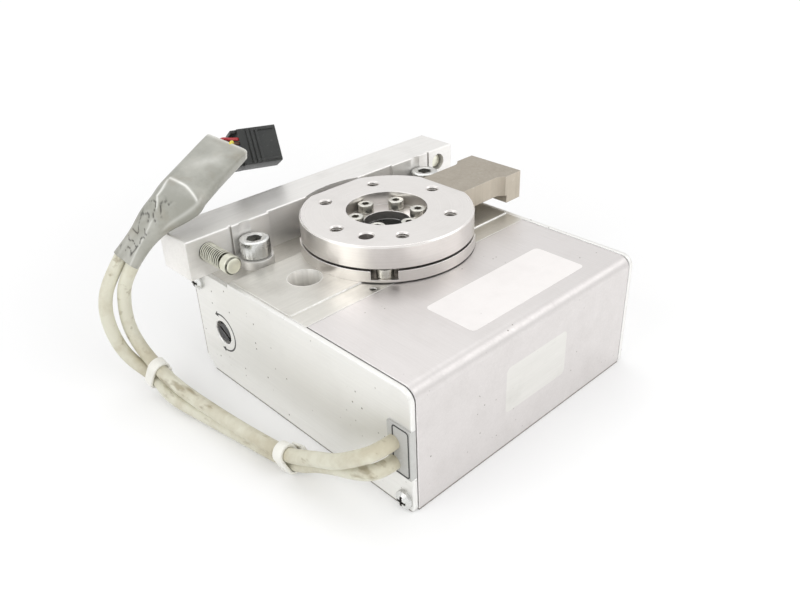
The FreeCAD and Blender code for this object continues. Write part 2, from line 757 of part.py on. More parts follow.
def table_bearings():
    """The large bearing under the cover ring and the small one at the foot, with what holds them."""
    for kind in ("upper", "lower"):
        name = kind + "_bearing"
        races = ball_bearing(name, name, name + "_bore", name + "_foot")
        for piece, race in zip(("outer_race", "inner_race", "balls"), races):
            sub_part(f"{name}_{piece}", race)
    ring = fuse("ring_blank", [
        rod("ring_disc", "ring_diameter / 2", "band_top", "ring_top"),
        rod("ring_spigot", "upper_bearing_outside / 2", "upper_bearing_top", "band_top"),
    ])
    tools = [rod("ring_opening", "ring_bore", "upper_bearing_top - 1", "ring_top + 1")]
    screws = []
    for index, angle in enumerate(RING_SCREW_ANGLES):
        x, y = polar("ring_screw_circle", angle)
        low = ("ring_notch_inner", "-ring_notch_width / 2", "band_top + ring_notch_floor")
        high = ("ring_diameter", "ring_notch_width / 2", "ring_top + 1")
        tools.append(box(f"ring_notch_{index}", low, high, angle))
        radius = "ring_screw_thread / 2 + hole_gap"
        tools.append(rod(f"ring_screw_hole_{index}", radius, "band_top - 1", "ring_top + 1", x, y))
        screws.append(cap_screw(f"ring_screw_{index}", "ring_screw", x, y, "band_top + ring_notch_floor"))
    sub_part("bearing_cover_ring", cut("bearing_cover_ring", ring, tools))
    sub_part("ring_screws", group("ring_screws", screws))
    retainer = rod("retainer_disc", "retainer_diameter / 2", "shaft_foot", "lower_bearing_foot")
    opening = "nut_outside / 2 + running_gap"
    tools = [rod("retainer_bore", opening, "shaft_foot - 1", "lower_bearing_foot + 1")]
    screws = []
    seat = "retainer_screw_seat"
    for index, angle in enumerate(RETAINER_SCREW_ANGLES):
        x, y = polar("retainer_screw_circle", angle)
        hole = "retainer_screw_thread / 2 + hole_gap"
        head = "(retainer_screw_thread * 1.5 + 1) / 2 + hole_gap"
        tools.append(rod(f"retainer_hole_{index}", hole, "shaft_foot - 1", "lower_bearing_foot + 1", x, y))
        tools.append(rod(f"retainer_head_{index}", head, "shaft_foot - 1", seat, x, y))
        screws.append(cap_screw(f"retainer_screw_{index}", "retainer_screw", x, y, seat, AGAINST_Z))
    sub_part("bearing_retainer", cut("bearing_retainer", retainer, tools))
    sub_part("retainer_screws", group("retainer_screws", screws))


# Worm gear

def worm_wheel():
    """A helical wheel of involute teeth with a space facing the worm."""
    module, teeth, width = value("gear_module"), int(value("wheel_teeth")), value("wheel_width")
    pitch_radius = module * teeth / 2
    base_radius = pitch_radius * math.cos(PRESSURE_ANGLE)
    root_radius = pitch_radius - module * (1 + BOTTOM_CLEARANCE)
    flank_start = max(base_radius, root_radius)
    half_tooth = math.pi / (2 * teeth) - value("backlash") / (4 * pitch_radius)
    lead_slope = module / (2 * value("worm_pitch_radius"))

    def involute(angle):
        return math.tan(angle) - angle

    def flank_angle(radius):
        return half_tooth + involute(PRESSURE_ANGLE) - involute(math.acos(base_radius / radius))

    def at(radius, angle, height):
        return Vector(radius * math.cos(angle), radius * math.sin(angle), height)

    tip_radius = pitch_radius + module
    flank_radii = [flank_start, (flank_start + tip_radius) / 2, tip_radius]

    def outline(height):
        twist = (height - value("drive_height")) * lead_slope / pitch_radius
        edges = []
        for index in range(teeth):
            centre = math.pi / 2 + twist + (index + 0.5) * 2 * math.pi / teeth
            rise = [at(r, centre - flank_angle(r), height) for r in flank_radii]
            fall = [at(r, centre + flank_angle(r), height) for r in reversed(flank_radii)]
            valley = centre + math.pi / teeth
            after = centre + 2 * math.pi / teeth - flank_angle(flank_start)
            root = [fall[-1], at(root_radius, valley, height), at(flank_start, after, height)]
            edges.append(Part.Arc(*rise).toShape())
            edges.append(Part.Arc(rise[-1], at(tip_radius, centre, height), fall[0]).toShape())
            edges.append(Part.Arc(*fall).toShape())
            edges.append(Part.Arc(*root).toShape())
        return Part.Wire(edges)

    foot = value("wheel_foot")
    blank = Part.makeLoft([outline(foot), outline(foot + width)], True, True)
    bore = Part.makeCylinder(value("wheel_seat") / 2 + value("fit_gap"), width + 2, Vector(0, 0, foot - 1))
    key_top = value("wheel_seat / 2 + key_proud + fit_gap")
    key = Part.makeBox(
        value("key_width"), value("key_proud + key_depth"), width + 2,
        Vector(-value("key_width") / 2, -key_top, foot - 1),
    )
    wheel = doc.addObject("Part::Feature", "worm_wheel")
    wheel.Shape = blank.cut(bore).cut(key)
    sub_part("worm_wheel", wheel)


def worm():
    """The threaded shaft along X, with the slotted end that turns it by hand."""
    module, pitch_radius = value("gear_module"), value("worm_pitch_radius")
    pitch = math.pi * module
    root_radius = pitch_radius - module * (1 + BOTTOM_CLEARANCE)
    tip_radius = pitch_radius + module
    half_pitch_width = pitch / 4 - value("backlash") / 4

    def half_width(radius):
        return half_pitch_width - (radius - pitch_radius) * math.tan(PRESSURE_ANGLE)

    sunk_radius = root_radius - THREAD_ROOT
    half_length = pitch * value("worm_turns") / 2
    corners = [
        Vector(sunk_radius, 0, -half_width(sunk_radius)),
        Vector(tip_radius, 0, -half_width(tip_radius)),
        Vector(tip_radius, 0, half_width(tip_radius)),
        Vector(sunk_radius, 0, half_width(sunk_radius)),
    ]
    profile = Part.makePolygon(corners + corners[:1])
    profile.translate(Vector(0, 0, -half_length))
    helix = Part.makeHelix(pitch, 2 * half_length, pitch_radius)
    helix.translate(Vector(0, 0, -half_length))
    thread = Part.Wire(helix.Edges).makePipeShell([profile], True, True)

    def step(radius, start, end):
        return Part.makeCylinder(radius, end - start, Vector(0, 0, start))

    end = -value("body_left") + value("override_setback")
    neck = -value("pulley_right")
    core = [
        step(root_radius, -half_length - module, half_length + module),
        step(value("worm_shaft") / 2, neck, value("worm_bearing_right")),
        step(value("worm_end") / 2, end, neck),
    ]
    slot = Part.makeBox(
        value("worm_end"), value("slot_width"), value("slot_depth"),
        Vector(-value("worm_end") / 2, -value("slot_width") / 2, end),
    )
    slot.rotate(Vector(), Vector(0, 0, 1), SLOT_ANGLE)
    solid = core[0].multiFuse(core[1:] + [thread]).removeSplitter().cut(slot)
    shaft = doc.addObject("Part::Feature", "worm")
    shaft.Shape = solid
    shaft.Placement = FreeCAD.Placement(Vector(), WORM_TURN)
    place(shaft, 0, "worm_line", "drive_height")
    sub_part("worm", shaft)


def worm_bearings():
    """A bearing at each end of the worm and the ring that keeps them in the tunnel."""
    feet = {
        "left": "-belt_wall + retaining_ring",
        "right": "worm_bearing_right - worm_bearing_width",
    }
    sets = [
        ball_bearing(f"worm_bearing_{side}", "worm_bearing", "worm_shaft", foot, ALONG_X,
                     "worm_line", "drive_height")
        for side, foot in feet.items()
    ]
    for piece, pair in zip(("outer_races", "inner_races", "balls"), zip(*sets)):
        sub_part("worm_bearing_" + piece, group("worm_bearing_" + piece, list(pair)))
    where = {"x": "along", "y": "worm_line", "z": "drive_height"}
    start, end = "-belt_wall", "-belt_wall + retaining_ring"
    ring = rod("retaining_blank", "worm_bearing_outside / 2", start, end, **where)
    land = "(worm_shaft + worm_bearing_outside) / 4 + worm_bearing_ball / 4"
    opening = rod("retaining_opening", land, f"{start} - 1", f"{end} + 1", **where)
    sub_part("worm_retaining_ring", cut("worm_retaining_ring", ring, [opening]))


# Step motor and belt drive

def pulley(name, bore, y):
    """A flanged toothed pulley on an axis along X."""
    left, right = "-pulley_left", "-pulley_right"
    where = {"x": "along", "y": y, "z": "drive_height"}
    flange_radius = "pulley_diameter / 2 + pulley_flange_rise"
    drum = rod(name + "_drum", "pulley_diameter / 2", left, right, **where)
    grooves = []
    for index in range(int(value("pulley_teeth"))):
        angle = f"360 / pulley_teeth * {index}"
        groove_y = f"{y} + pulley_diameter / 2 * cos({angle})"
        groove_z = f"drive_height + pulley_diameter / 2 * sin({angle})"
        radius = "pulley_diameter / pulley_teeth"
        grooves.append(rod(f"{name}_groove_{index}", radius, left, right, x="along", y=groove_y, z=groove_z))
    drum = cut(name + "_toothed", drum, grooves)
    flanges = [
        rod(name + "_flange_left", flange_radius, left, f"{left} + pulley_flange", **where),
        rod(name + "_flange_right", flange_radius, f"{right} - pulley_flange", right, **where),
    ]
    opening = rod(name + "_bore", f"{bore} / 2 + fit_gap", f"{left} - 1", f"{right} + 1", **where)
    sub_part(name, cut(name, fuse(name + "_blank", [drum] + flanges), [opening]))


def belt_loop(name, radius, start, end):
    """A stadium around both pulley axes."""
    where = {"x": "along", "z": "drive_height"}
    low = (start, "-motor_line", f"drive_height - ({radius})")
    high = (end, "worm_line", f"drive_height + ({radius})")
    return fuse(name, [
        rod(name + "_worm", radius, start, end, y="worm_line", **where),
        rod(name + "_motor", radius, start, end, y="-motor_line", **where),
        box(name + "_span", low, high),
    ])


def belt_drive():
    """Two equal pulleys and the belt around them."""
    pulley("worm_pulley", "worm_end", "worm_line")
    pulley("motor_pulley", "motor_shaft", "-motor_line")
    middle = "-(pulley_left + pulley_right) / 2"
    start, end = f"{middle} - belt_width / 2", f"{middle} + belt_width / 2"
    outside = belt_loop("belt_outside", "belt_inside + belt_thickness", start, end)
    inside = belt_loop("belt_inside_space", "belt_inside", f"{start} - 1", f"{end} + 1")
    sub_part("timing_belt", cut("timing_belt", outside, [inside]))


def motor():
    """Square step motor with its rotor, bearings, plate, screws and encoder."""
    front, back = "-motor_face", "-motor_end"
    where = {"x": "along", "y": "-motor_line", "z": "drive_height"}
    half, corner = "motor_side / 2", "motor_side / 2 - motor_corner"
    octagon = [(corner, f"-{half}"), (half, f"-({corner})"), (half, corner), (corner, half)]
    octagon += [(f"-({u})", v) for u, v in reversed(octagon)]
    outline = [(f"-motor_line + ({u})", f"drive_height + ({v})") for u, v in octagon]
    body, _ = polygon_body("motor_block", "YZ_Plane", front, "motor_length", outline)
    pilot_face = f"{front} - motor_pilot_height"
    pilot = rod("motor_pilot_disc", "motor_pilot / 2", pilot_face, f"{front} + 1", **where)
    seat, pilot_hole = "motor_bearing_outside / 2 + fit_gap", "motor_pilot / 2 + fit_gap"
    rotor_front, rotor_back = f"{front} + motor_wall", f"{back} - motor_wall"
    tools = [
        rod("rotor_space", "rotor_diameter / 2 + rotor_gap", rotor_front, rotor_back, **where),
        rod("motor_seats", seat, f"{rotor_front} - motor_bearing_width",
            f"{rotor_back} + motor_bearing_width", **where),
        rod("motor_shaft_hole", "motor_shaft / 2 + running_gap", f"{pilot_face} - 1", f"{back} + 1", **where),
    ]
    plate_tools = [rod("plate_pilot_hole", pilot_hole, "-belt_wall - 1", f"{front} + 1", **where)]
    screws = []
    offsets = [(a, b) for a in ("+", "-") for b in ("+", "-")]
    for index, (a, b) in enumerate(offsets):
        y = f"-motor_line {a} motor_screw_spacing / 2"
        z = f"drive_height {b} motor_screw_spacing / 2"
        deep = "motor_screw_length - motor_plate_thickness + 1"
        tools.append(rod(f"motor_tapping_{index}", "motor_screw_thread / 2 + thread_gap",
                         f"{front} - 1", f"{front} + {deep}", x="along", y=y, z=z))
        plate_tools.append(rod(f"motor_plate_hole_{index}", "motor_screw_thread / 2 + hole_gap",
                               "-belt_wall - 1", f"{front} + 1", x="along", y=y, z=z))
        screws.append(cap_screw(f"motor_screw_{index}", "motor_screw", "-belt_wall", y, z, AGAINST_X))
    sub_part("motor_body", cut("motor_body", fuse("motor_blank", [body, pilot]), tools))
    sub_part("motor_screws", group("motor_screws", screws))
    low = ("-belt_wall", f"-motor_line - {half}", "floor_thickness")
    plate = box("motor_plate_blank", low, (front, "-ledge_front", f"drive_height + {half}"))
    sub_part("motor_plate", cut("motor_plate", plate, plate_tools))
    rotor = fuse("motor_rotor", [
        rod("rotor_core", "rotor_diameter / 2", f"{rotor_front} + running_gap",
            f"{rotor_back} - running_gap", **where),
        rod("rotor_shaft", "motor_shaft / 2", "-pulley_left", f"{back} + encoder_length / 2", **where),
    ])
    sub_part("motor_rotor", rotor)
    feet = {"front": f"{rotor_front} - motor_bearing_width", "back": rotor_back}
    sets = [
        ball_bearing(f"motor_bearing_{end}", "motor_bearing", "motor_shaft", foot, ALONG_X,
                     "-motor_line", "drive_height")
        for end, foot in feet.items()
    ]
    for piece, pair in zip(("outer_races", "inner_races", "balls"), zip(*sets)):
        sub_part("motor_bearing_" + piece, group("motor_bearing_" + piece, list(pair)))
    end = f"{back} + encoder_length"
    side, inside = "encoder_side / 2", "(encoder_side / 2 - encoder_wall)"
    shell = box(
        "encoder_shell",
        (back, f"-motor_line - {side}", f"drive_height - {side}"),
        (end, f"-motor_line + {side}", f"drive_height + {side}"),
    )
    space = box(
        "encoder_space",
        (f"{back} - 1", f"-motor_line - {inside}", f"drive_height - {inside}"),
        (f"{end} - encoder_wall", f"-motor_line + {inside}", f"drive_height + {inside}"),
    )
    sub_part("encoder_cover", cut("encoder_cover", shell, [space]))
    disc_foot, disc_top = f"{back} + encoder_length / 4", f"{back} + encoder_length / 4 + encoder_wall"
    disc = rod("encoder_disc_blank", "encoder_disc / 2", disc_foot, disc_top, **where)
    shaft_hole = "motor_shaft / 2 + fit_gap"
    opening = rod("encoder_disc_bore", shaft_hole, f"{disc_foot} - 1", f"{disc_top} + 1", **where)
    sub_part("encoder_wheel", cut("encoder_wheel", disc, [opening]))


# Stop bar, adjusters and stop arm

def stop_bar():
    """The bar behind the table, scooped to clear it, with a tab for each of its two screws."""
    foot, top = "rear_top", "bar_top"
    block = box("bar_blank", ("-bar_half", "bar_front", foot), ("bar_half", "bar_back", top))
    middle = box(
        "bar_middle",
        ("-bar_middle_half", "bar_front - 1", f"{foot} - 1"),
        ("bar_middle_half", "bar_middle_front", f"{top} + 1"),
    )
    tools = [middle, rod("bar_scoop", "bar_scoop_radius", f"{foot} - 1", f"{top} + 1")]
    head_pocket = "(bar_screw_thread * 1.5 + 1) / 2 + running_gap"
    tab_top = f"{foot} + bar_tab_height"
    tabs, screws = [], []
    for side, sign in (("left", "-"), ("right", "")):
        x = f"{sign}bar_screw_at + bar_screw_shift"
        low = (f"{x} - bar_tab_radius", "bar_screw_line", foot)
        tabs.append(box("bar_tab_" + side, low, (f"{x} + bar_tab_radius", "bar_front + 1", tab_top)))
        tabs.append(rod("bar_tab_end_" + side, "bar_tab_radius", foot, tab_top, x, "bar_screw_line"))
        tools.append(rod("bar_head_pocket_" + side, head_pocket, tab_top, f"{top} + 1", x, "bar_screw_line"))
        groove = f"{sign}bar_groove_at + bar_groove_shift"
        groove_low = (f"{groove} - bar_groove / 2", "bar_front - 1", f"{foot} - 1")
        groove_high = (f"{groove} + bar_groove / 2", "bar_front + bar_groove", f"{top} + 1")
        tools.append(box("bar_groove_" + side, groove_low, groove_high))
        screws.append(cap_screw("bar_screw_" + side, "bar_screw", x, "bar_screw_line", tab_top))
        adjuster_hole = {"x": f"{sign}adjuster_at", "y": "along", "z": "adjuster_height"}
        tools.append(rod("adjuster_hole_" + side, "adjuster_radius + thread_gap", "bar_front - 1",
                         "bar_back + 1", **adjuster_hole))
    blank = cut("bar_cut", block, tools)
    holes = [
        rod("bar_screw_hole_" + side, "bar_screw_thread / 2 + hole_gap", f"{foot} - 1", f"{tab_top} + 1",
            f"{sign}bar_screw_at + bar_screw_shift", "bar_screw_line")
        for side, sign in (("left", "-"), ("right", ""))
    ]
    bar = cut("bar_shaped", fuse("bar_with_tabs", [blank] + tabs), holes)
    doc.recompute()
    top_at = value("bar_top")
    sub_part("stop_bar", break_edges("stop_bar", bar, "bar_edge", lambda e: straight_at(e, top_at)))
    sub_part("bar_screws", group("bar_screws", screws))
    lock_nut({"x": "-adjuster_at", "y": "along", "z": "adjuster_height"})


def straight_at(edge, height):
    """Whether an edge is a straight line that lies at one height."""
    flat = max(abs(vertex.Point.z - height) for vertex in edge.Vertexes) < EDGE_TOLERANCE
    return flat and isinstance(edge.Curve, (Part.Line, Part.LineSegment))


def break_edges(name, base, width, test):
    """A narrow chamfer on the edges that pass a test."""
    chamfer = doc.addObject("Part::Chamfer", name)
    chamfer.Base = base
    wide = value(width)
    chamfer.Edges = [(i, wide, wide) for i, e in enumerate(base.Shape.Edges, start=1) if test(e)]
    return chamfer


def hexagon(name, flats, start, depth, x, z):
    """A six-sided prism along Y."""
    prism = doc.addObject("Part::Prism", name)
    prism.Polygon = 6
    prism.setExpression("Circumradius", formula(f"{flats} / sqrt(3)"))
    prism.setExpression("Height", formula(depth))
    prism.Placement = FreeCAD.Placement(Vector(), ALONG_Y)
    place(prism, x, start, z)
    return prism


def lock_nut(where):
    """The hexagon nut that locks the long adjuster screw behind the bar."""
    blank = hexagon("nut_blank", "nut_flats", "bar_back", "nut_thickness", where["x"], where["z"])
    opening = rod("nut_bore", "adjuster_radius + thread_gap", "bar_back - 1",
                  "bar_back + nut_thickness + 1", **where)
    sub_part("adjuster_nut", cut("adjuster_nut", blank, [opening]))


def adjusters():
    """Two stop screws: the long left one reaches the arm's path, the short right one is backed off."""
    screws = {
        "left": ("-adjuster_at", "adjuster_reach", "adjuster_length"),
        "right": ("adjuster_at", "bar_front + adjuster_setback", "short_adjuster_length"),
    }
    for side, (x, tip, length) in screws.items():
        where = {"x": x, "y": "along", "z": "adjuster_height"}
        end = f"{tip} + {length}"
        shank = rod("adjuster_shank_" + side, "adjuster_radius", f"{tip} + adjuster_tip", end, **where)
        nose = doc.addObject("Part::Cone", "adjuster_nose_" + side)
        nose.setExpression("Radius1", formula("adjuster_radius - adjuster_tip"))
        nose.setExpression("Radius2", formula("adjuster_radius"))
        nose.setExpression("Height", formula("adjuster_tip"))
        nose.Placement = FreeCAD.Placement(Vector(), ALONG_Y)
        place(nose, x, tip, "adjuster_height")
        socket = hexagon("adjuster_socket_" + side, "adjuster_radius", f"{end} - adjuster_socket_depth",
                         "adjuster_socket_depth + 1", x, "adjuster_height")
        name = f"{side}_adjuster_bolt"
        sub_part(name, cut(name, fuse("adjuster_blank_" + side, [shank, nose]), [socket]))


def stop_arm():
    """The arm on the table's flat: a neck that flares into a deep tip, held by two long-bored screws."""
    neck_foot = "table_bottom"
    flare_centre = "arm_neck_half + arm_flare_radius"
    neck = box(
        "arm_neck",
        ("table_flat", "-arm_neck_half", neck_foot),
        ("arm_tip_start", "arm_neck_half", "arm_top"),
    )
    flare = box(
        "arm_flare_blank",
        ("arm_flare_start", "-arm_tip_half", neck_foot),
        ("arm_tip_start + 1", "arm_tip_half", "arm_top"),
    )
    rounds = [
        rod("arm_round_" + side, "arm_flare_radius", f"{neck_foot} - 1", "arm_top + 1",
            "arm_flare_start", f"{sign}({flare_centre})")
        for side, sign in (("back", ""), ("front", "-"))
    ]
    tip = box(
        "arm_tip",
        ("arm_tip_start", "-arm_tip_half", "arm_tip_foot"),
        ("arm_end", "arm_tip_half", "arm_top"),
    )
    tools, screws = [], []
    seat = "table_flat - arm_screw_grip + arm_screw_length"
    head = "(arm_screw_thread * 1.5 + 1) / 2 + hole_gap"
    for index, y in enumerate(ARM_SCREW_LINES):
        where = {"x": "along", "y": y, "z": "arm_screw_height"}
        hole = "arm_screw_thread / 2 + hole_gap"
        tools.append(rod(f"arm_hole_{index}", hole, "table_flat - 1", "arm_end + 1", **where))
        tools.append(rod(f"arm_counterbore_{index}", head, seat, "arm_end + 1", **where))
        screws.append(cap_screw(f"arm_screw_{index}", "arm_screw", seat, y, "arm_screw_height", ALONG_X))
    blank = fuse("arm_blank", [neck, cut("arm_flare", flare, rounds), tip])
    arm = cut("arm_shaped", blank, tools)
    doc.recompute()
    end_at = value("arm_end")

    def on_tip_face(edge):
        return len(edge.Vertexes) == 2 and min(v.Point.x for v in edge.Vertexes) > end_at - EDGE_TOLERANCE

    sub_part("stop_arm", break_edges("stop_arm", arm, "arm_edge", on_tip_face))
    sub_part("arm_screws", group("arm_screws", screws))


def plate_screws():
    """Two pan head screws through each end plate."""
    screws = []
    faces = {"left": ("-body_left", AGAINST_X), "right": ("body_right", ALONG_X)}
    for side, (x, rotation) in faces.items():
        for place_index, (y, z) in enumerate(PLATE_SCREWS):
            name = f"plate_screw_{side}_{place_index}"
            head = fuse(name + "_head", [
                rod(name + "_rim", "plate_screw_head / 2", 0, "plate_screw_rise / 2"),
                cone(name + "_crown", "plate_screw_head / 2", "plate_screw_head / 4", "plate_screw_rise / 2",
                     "plate_screw_rise"),
                rod(name + "_shank", "plate_screw_thread / 2", "-plate_screw_length", 0),
            ])
            reach, blade = "plate_screw_head * 0.3", "plate_screw_head * 0.08"
            floor, top = "plate_screw_rise / 4", "plate_screw_rise + 1"
            cross = [
                box(f"{name}_cross_{index}", (f"-{u}", f"-{v}", floor), (u, v, top))
                for index, (u, v) in enumerate(((reach, blade), (blade, reach)))
            ]
            screw = cut(name, head, cross)
            screw.Placement = FreeCAD.Placement(Vector(), rotation)
            place(screw, x, y, z)
            screws.append(screw)
    sub_part("side_plate_screws", group("side_plate_screws", screws))


# Cables with their ties, sleeve, wires and connector

# Route points are set from the gland's mouth, the foot of the left plate or the bar's left back top corner.
# The cables are tied together where both routes say so.
UPPER_ROUTE = [
    ("gland", -8.3, 0.0, 0.0),
    ("gland", -13.6, 5.0, -2.2),
    ("gland", -15.3, 13.4, -7.8),
    ("gland", -15.7, 23.6, -12.5),
    ("foot", -18.0, -45.0, 12.4),
    ("tie", -19.0, -37.4, 9.9),
    ("foot", -21.4, -13.0, 8.7),
    ("foot", -23.8, 13.0, 8.8),
    ("foot", -25.3, 31.2, 10.1),
    ("tie", -25.5, 43.4, 12.3),
    ("foot", -26.6, 54.6, 18.4),
    ("bar", -20.7, 3.5, -39.2),
    ("bar", -19.9, 3.7, -27.2),
    ("bar", -17.9, 1.7, -17.0),
    ("bar", -11.8, -0.2, -8.7),
]
LOWER_ROUTE = [
    ("gland", -7.7, 0.0, 0.0),
    ("gland", -11.2, 6.2, -1.7),
    ("gland", -11.9, 18.0, -6.3),
    ("gland", -12.5, 28.6, -11.3),
    ("foot", -15.2, -43.6, 5.8),
    ("tie", -16.9, -37.6, 4.3),
    ("foot", -19.8, -13.2, 2.95),
    ("foot", -23.8, 13.0, 2.95),
    ("foot", -28.1, 31.5, 4.7),
    ("tie", -26.0, 45.6, 6.6),
    ("foot", -32.2, 57.0, 14.6),
    ("bar", -28.1, 4.7, -39.6),
    ("bar", -27.3, 6.7, -27.2),
    ("bar", -22.1, 6.7, -16.6),
    ("bar", -13.5, 4.8, -5.5),
]
TIE_HEAD_SHARE = 0.7

# Share of a straight run that the arc at its end may take
ARC_SHARE = 0.45

# Stations of the sleeve: centre from the bar's corner, half width and half thickness
SLEEVE_ACROSS = Vector(0.48, -0.83, -0.28)
SLEEVE_STATIONS = [
    ((-15.4, 2.8, -9.9), 6.0, 3.8),
    ((-7.4, 0.6, -1.4), 5.8, 3.8),
    ((-1.8, -2.8, 6.1), 7.9, 4.2),
    ((8.6, -2.9, 9.8), 10.6, 4.6),
    ((14.0, 0.7, 11.4), 10.3, 4.8),
    ((29.3, 6.4, 15.6), 10.2, 4.9),
    ((45.3, 12.8, 20.2), 10.2, 5.0),
]

CONNECTOR_OFFSET = (61.6, 16.6, 14.2)
CONNECTOR_ALONG = Vector(0.963, -0.264, -0.055)
CONNECTOR_UP = Vector(0.167, 0.519, 0.838)
CONNECTOR_WALL = 1.4
CONNECTOR_MOUTH = 9.0
WIRE_COUNT = 5
WIRE_SINK = 3.0
WIRE_SPREAD = 8.0


def bar_point(offset):
    """A point set from the bar's left back top corner."""
    return Vector(-value("bar_half"), value("bar_back"), value("bar_top")) + Vector(*offset)


def rounded_path(points):
    """Straight runs joined by tangent arcs as large as the runs allow."""
    edges = []
    start = points[0]
    for before, at, after in zip(points, points[1:], points[2:]):
        back, ahead = before - at, after - at
        turn = math.pi - back.getAngle(ahead)
        reach = ARC_SHARE * min(back.Length, ahead.Length)
        radius = reach / math.tan(turn / 2)
        print(f"turn {math.degrees(turn):5.1f} deg, radius {radius:6.1f} mm")
        enter, leave = at + back.normalize() * reach, at + ahead.normalize() * reach
        inward = (enter + leave) * 0.5 - at
        to_centre = math.hypot(radius, reach)
        middle = at + inward.normalize() * (to_centre - radius)
        edges.append(Part.LineSegment(start, enter).toShape())
        edges.append(Part.Arc(enter, middle, leave).toShape())
        start = leave
    edges.append(Part.LineSegment(start, points[-1]).toShape())
    return Part.Wire(edges)


def tube(name, points, diameter):
    """A round tube along a path, checked against its section times its length."""
    path = rounded_path(points)
    direction = points[1] - points[0]
    ring = Part.Wire(Part.Circle(points[0], direction, diameter / 2).toShape())
    solid = path.makePipeShell([ring], True, False)
    expected = path.Length * math.pi * diameter ** 2 / 4
    print(f"{name}: length {path.Length:.1f} mm, volume ratio {solid.Volume / expected:.4f}")
    return solid


def oriented(along, across):
    """A placement rotation whose Z runs along a direction and whose X lies near another."""
    return FreeCAD.Rotation(across, Vector(), along, "ZXY")


def feature(node, shape):
    """A free-form solid as a sub-part."""
    obj = doc.addObject("Part::Feature", node)
    obj.Shape = shape
    return sub_part(node, obj)


def cable_tie(upper, lower, along):
    """A flat strap around both cables, with its square head behind the lower one."""
    radius, wall, width = value("cable_diameter") / 2, value("tie_wall"), value("tie_width")
    half = (upper - lower).Length / 2

    def stadium(reach, depth):
        ends = [Part.makeCylinder(reach, depth, Vector(side, 0, -depth / 2)) for side in (-half, half)]
        span = Part.makeBox(2 * half, 2 * reach, depth, Vector(-half, -reach, -depth / 2))
        return span.multiFuse(ends)

    inside = radius + value("tie_slack")
    strap = stadium(inside + wall, width).cut(stadium(inside, width + 2))
    head = value("tie_head")
    rise = head * TIE_HEAD_SHARE
    behind = inside + wall / 2 + rise
    lock = Part.makeBox(head, rise, head, Vector(half - head / 2, -behind, -head / 2))
    solid = strap.fuse(lock).removeSplitter()
    solid.Placement = FreeCAD.Placement((upper + lower) * 0.5, oriented(along, lower - upper))
    return solid


def sleeve():
    """The flattened shrink sleeve over the cables' joint, resting on the stop bar's end."""
    sections = []
    centres = [bar_point(offset) for offset, _, _ in SLEEVE_STATIONS]
    for index, (_, half_width, half_thickness) in enumerate(SLEEVE_STATIONS):
        before, centre, after = centres[max(index - 1, 0)], centres[index], centres[index:index + 2][-1]
        along = (after - before).normalize()
        across = (SLEEVE_ACROSS - along * SLEEVE_ACROSS.dot(along)).normalize()
        upward = along.cross(across)
        oval = Part.Ellipse(centre + across * half_width, centre + upward * half_thickness, centre)
        sections.append(Part.Wire(oval.toShape()))
    feature("cable_sleeve", Part.makeLoft(sections, True))


def connector():
    """The rectangular multi-pin plug at the cables' end, with ribs and a latch."""
    length, height, thick = value("connector_length"), value("connector_height"), value("connector_thickness")
    rear, front = -length / 2, length / 2
    shell = Part.makeBox(thick, height, length, Vector(-thick / 2, -height / 2, rear))
    mouth = Part.makeBox(
        thick - 2 * CONNECTOR_WALL, height - 2 * CONNECTOR_WALL, CONNECTOR_MOUTH + 1,
        Vector(-thick / 2 + CONNECTOR_WALL, -height / 2 + CONNECTOR_WALL, front - CONNECTOR_MOUTH),
    )
    latch_corner = Vector(thick / 2, -height / 6, rear + length * 0.1)
    latch = Part.makeBox(CONNECTOR_WALL, height / 3, length * 0.6, latch_corner)
    rib = CONNECTOR_WALL / 2
    ribs = [
        Part.makeBox(rib, height, CONNECTOR_WALL, Vector(-thick / 2 - rib, -height / 2, at))
        for at in (rear + length * 0.35, rear + length * 0.55)
    ]
    solid = shell.cut(mouth).multiFuse([latch] + ribs).removeSplitter()
    obj = feature("connector", solid)
    across = CONNECTOR_UP.cross(CONNECTOR_ALONG)
    obj.Placement = FreeCAD.Placement(bar_point(CONNECTOR_OFFSET), oriented(CONNECTOR_ALONG, across))
    return obj


def lead_wires(plug):
    """Thin wires from the sleeve's mouth into the back of the connector."""
    before, end = [bar_point(offset) for offset, _, _ in SLEEVE_STATIONS[-2:]]
    out = (end - before).normalize()
    spread = (SLEEVE_ACROSS - out * SLEEVE_ACROSS.dot(out)).normalize()
    wires = []
    for index in range(WIRE_COUNT):
        share = index / (WIRE_COUNT - 1) - 0.5
        start = end + spread * (share * WIRE_SPREAD) - out * WIRE_SINK
        rear = Vector(0, -share * WIRE_SPREAD, -value("connector_length") / 2)
        finish = plug.Placement.multVec(rear + Vector(0, 0, WIRE_SINK))
        mouth = plug.Placement.multVec(rear - Vector(0, 0, WIRE_SINK / 2))
        points = [start, start + out * (1.5 * WIRE_SINK), mouth, finish]
        wires.append(tube(f"wire {index}", points, value("wire_diameter")))
    feature("lead_wires", Part.makeCompound(wires))


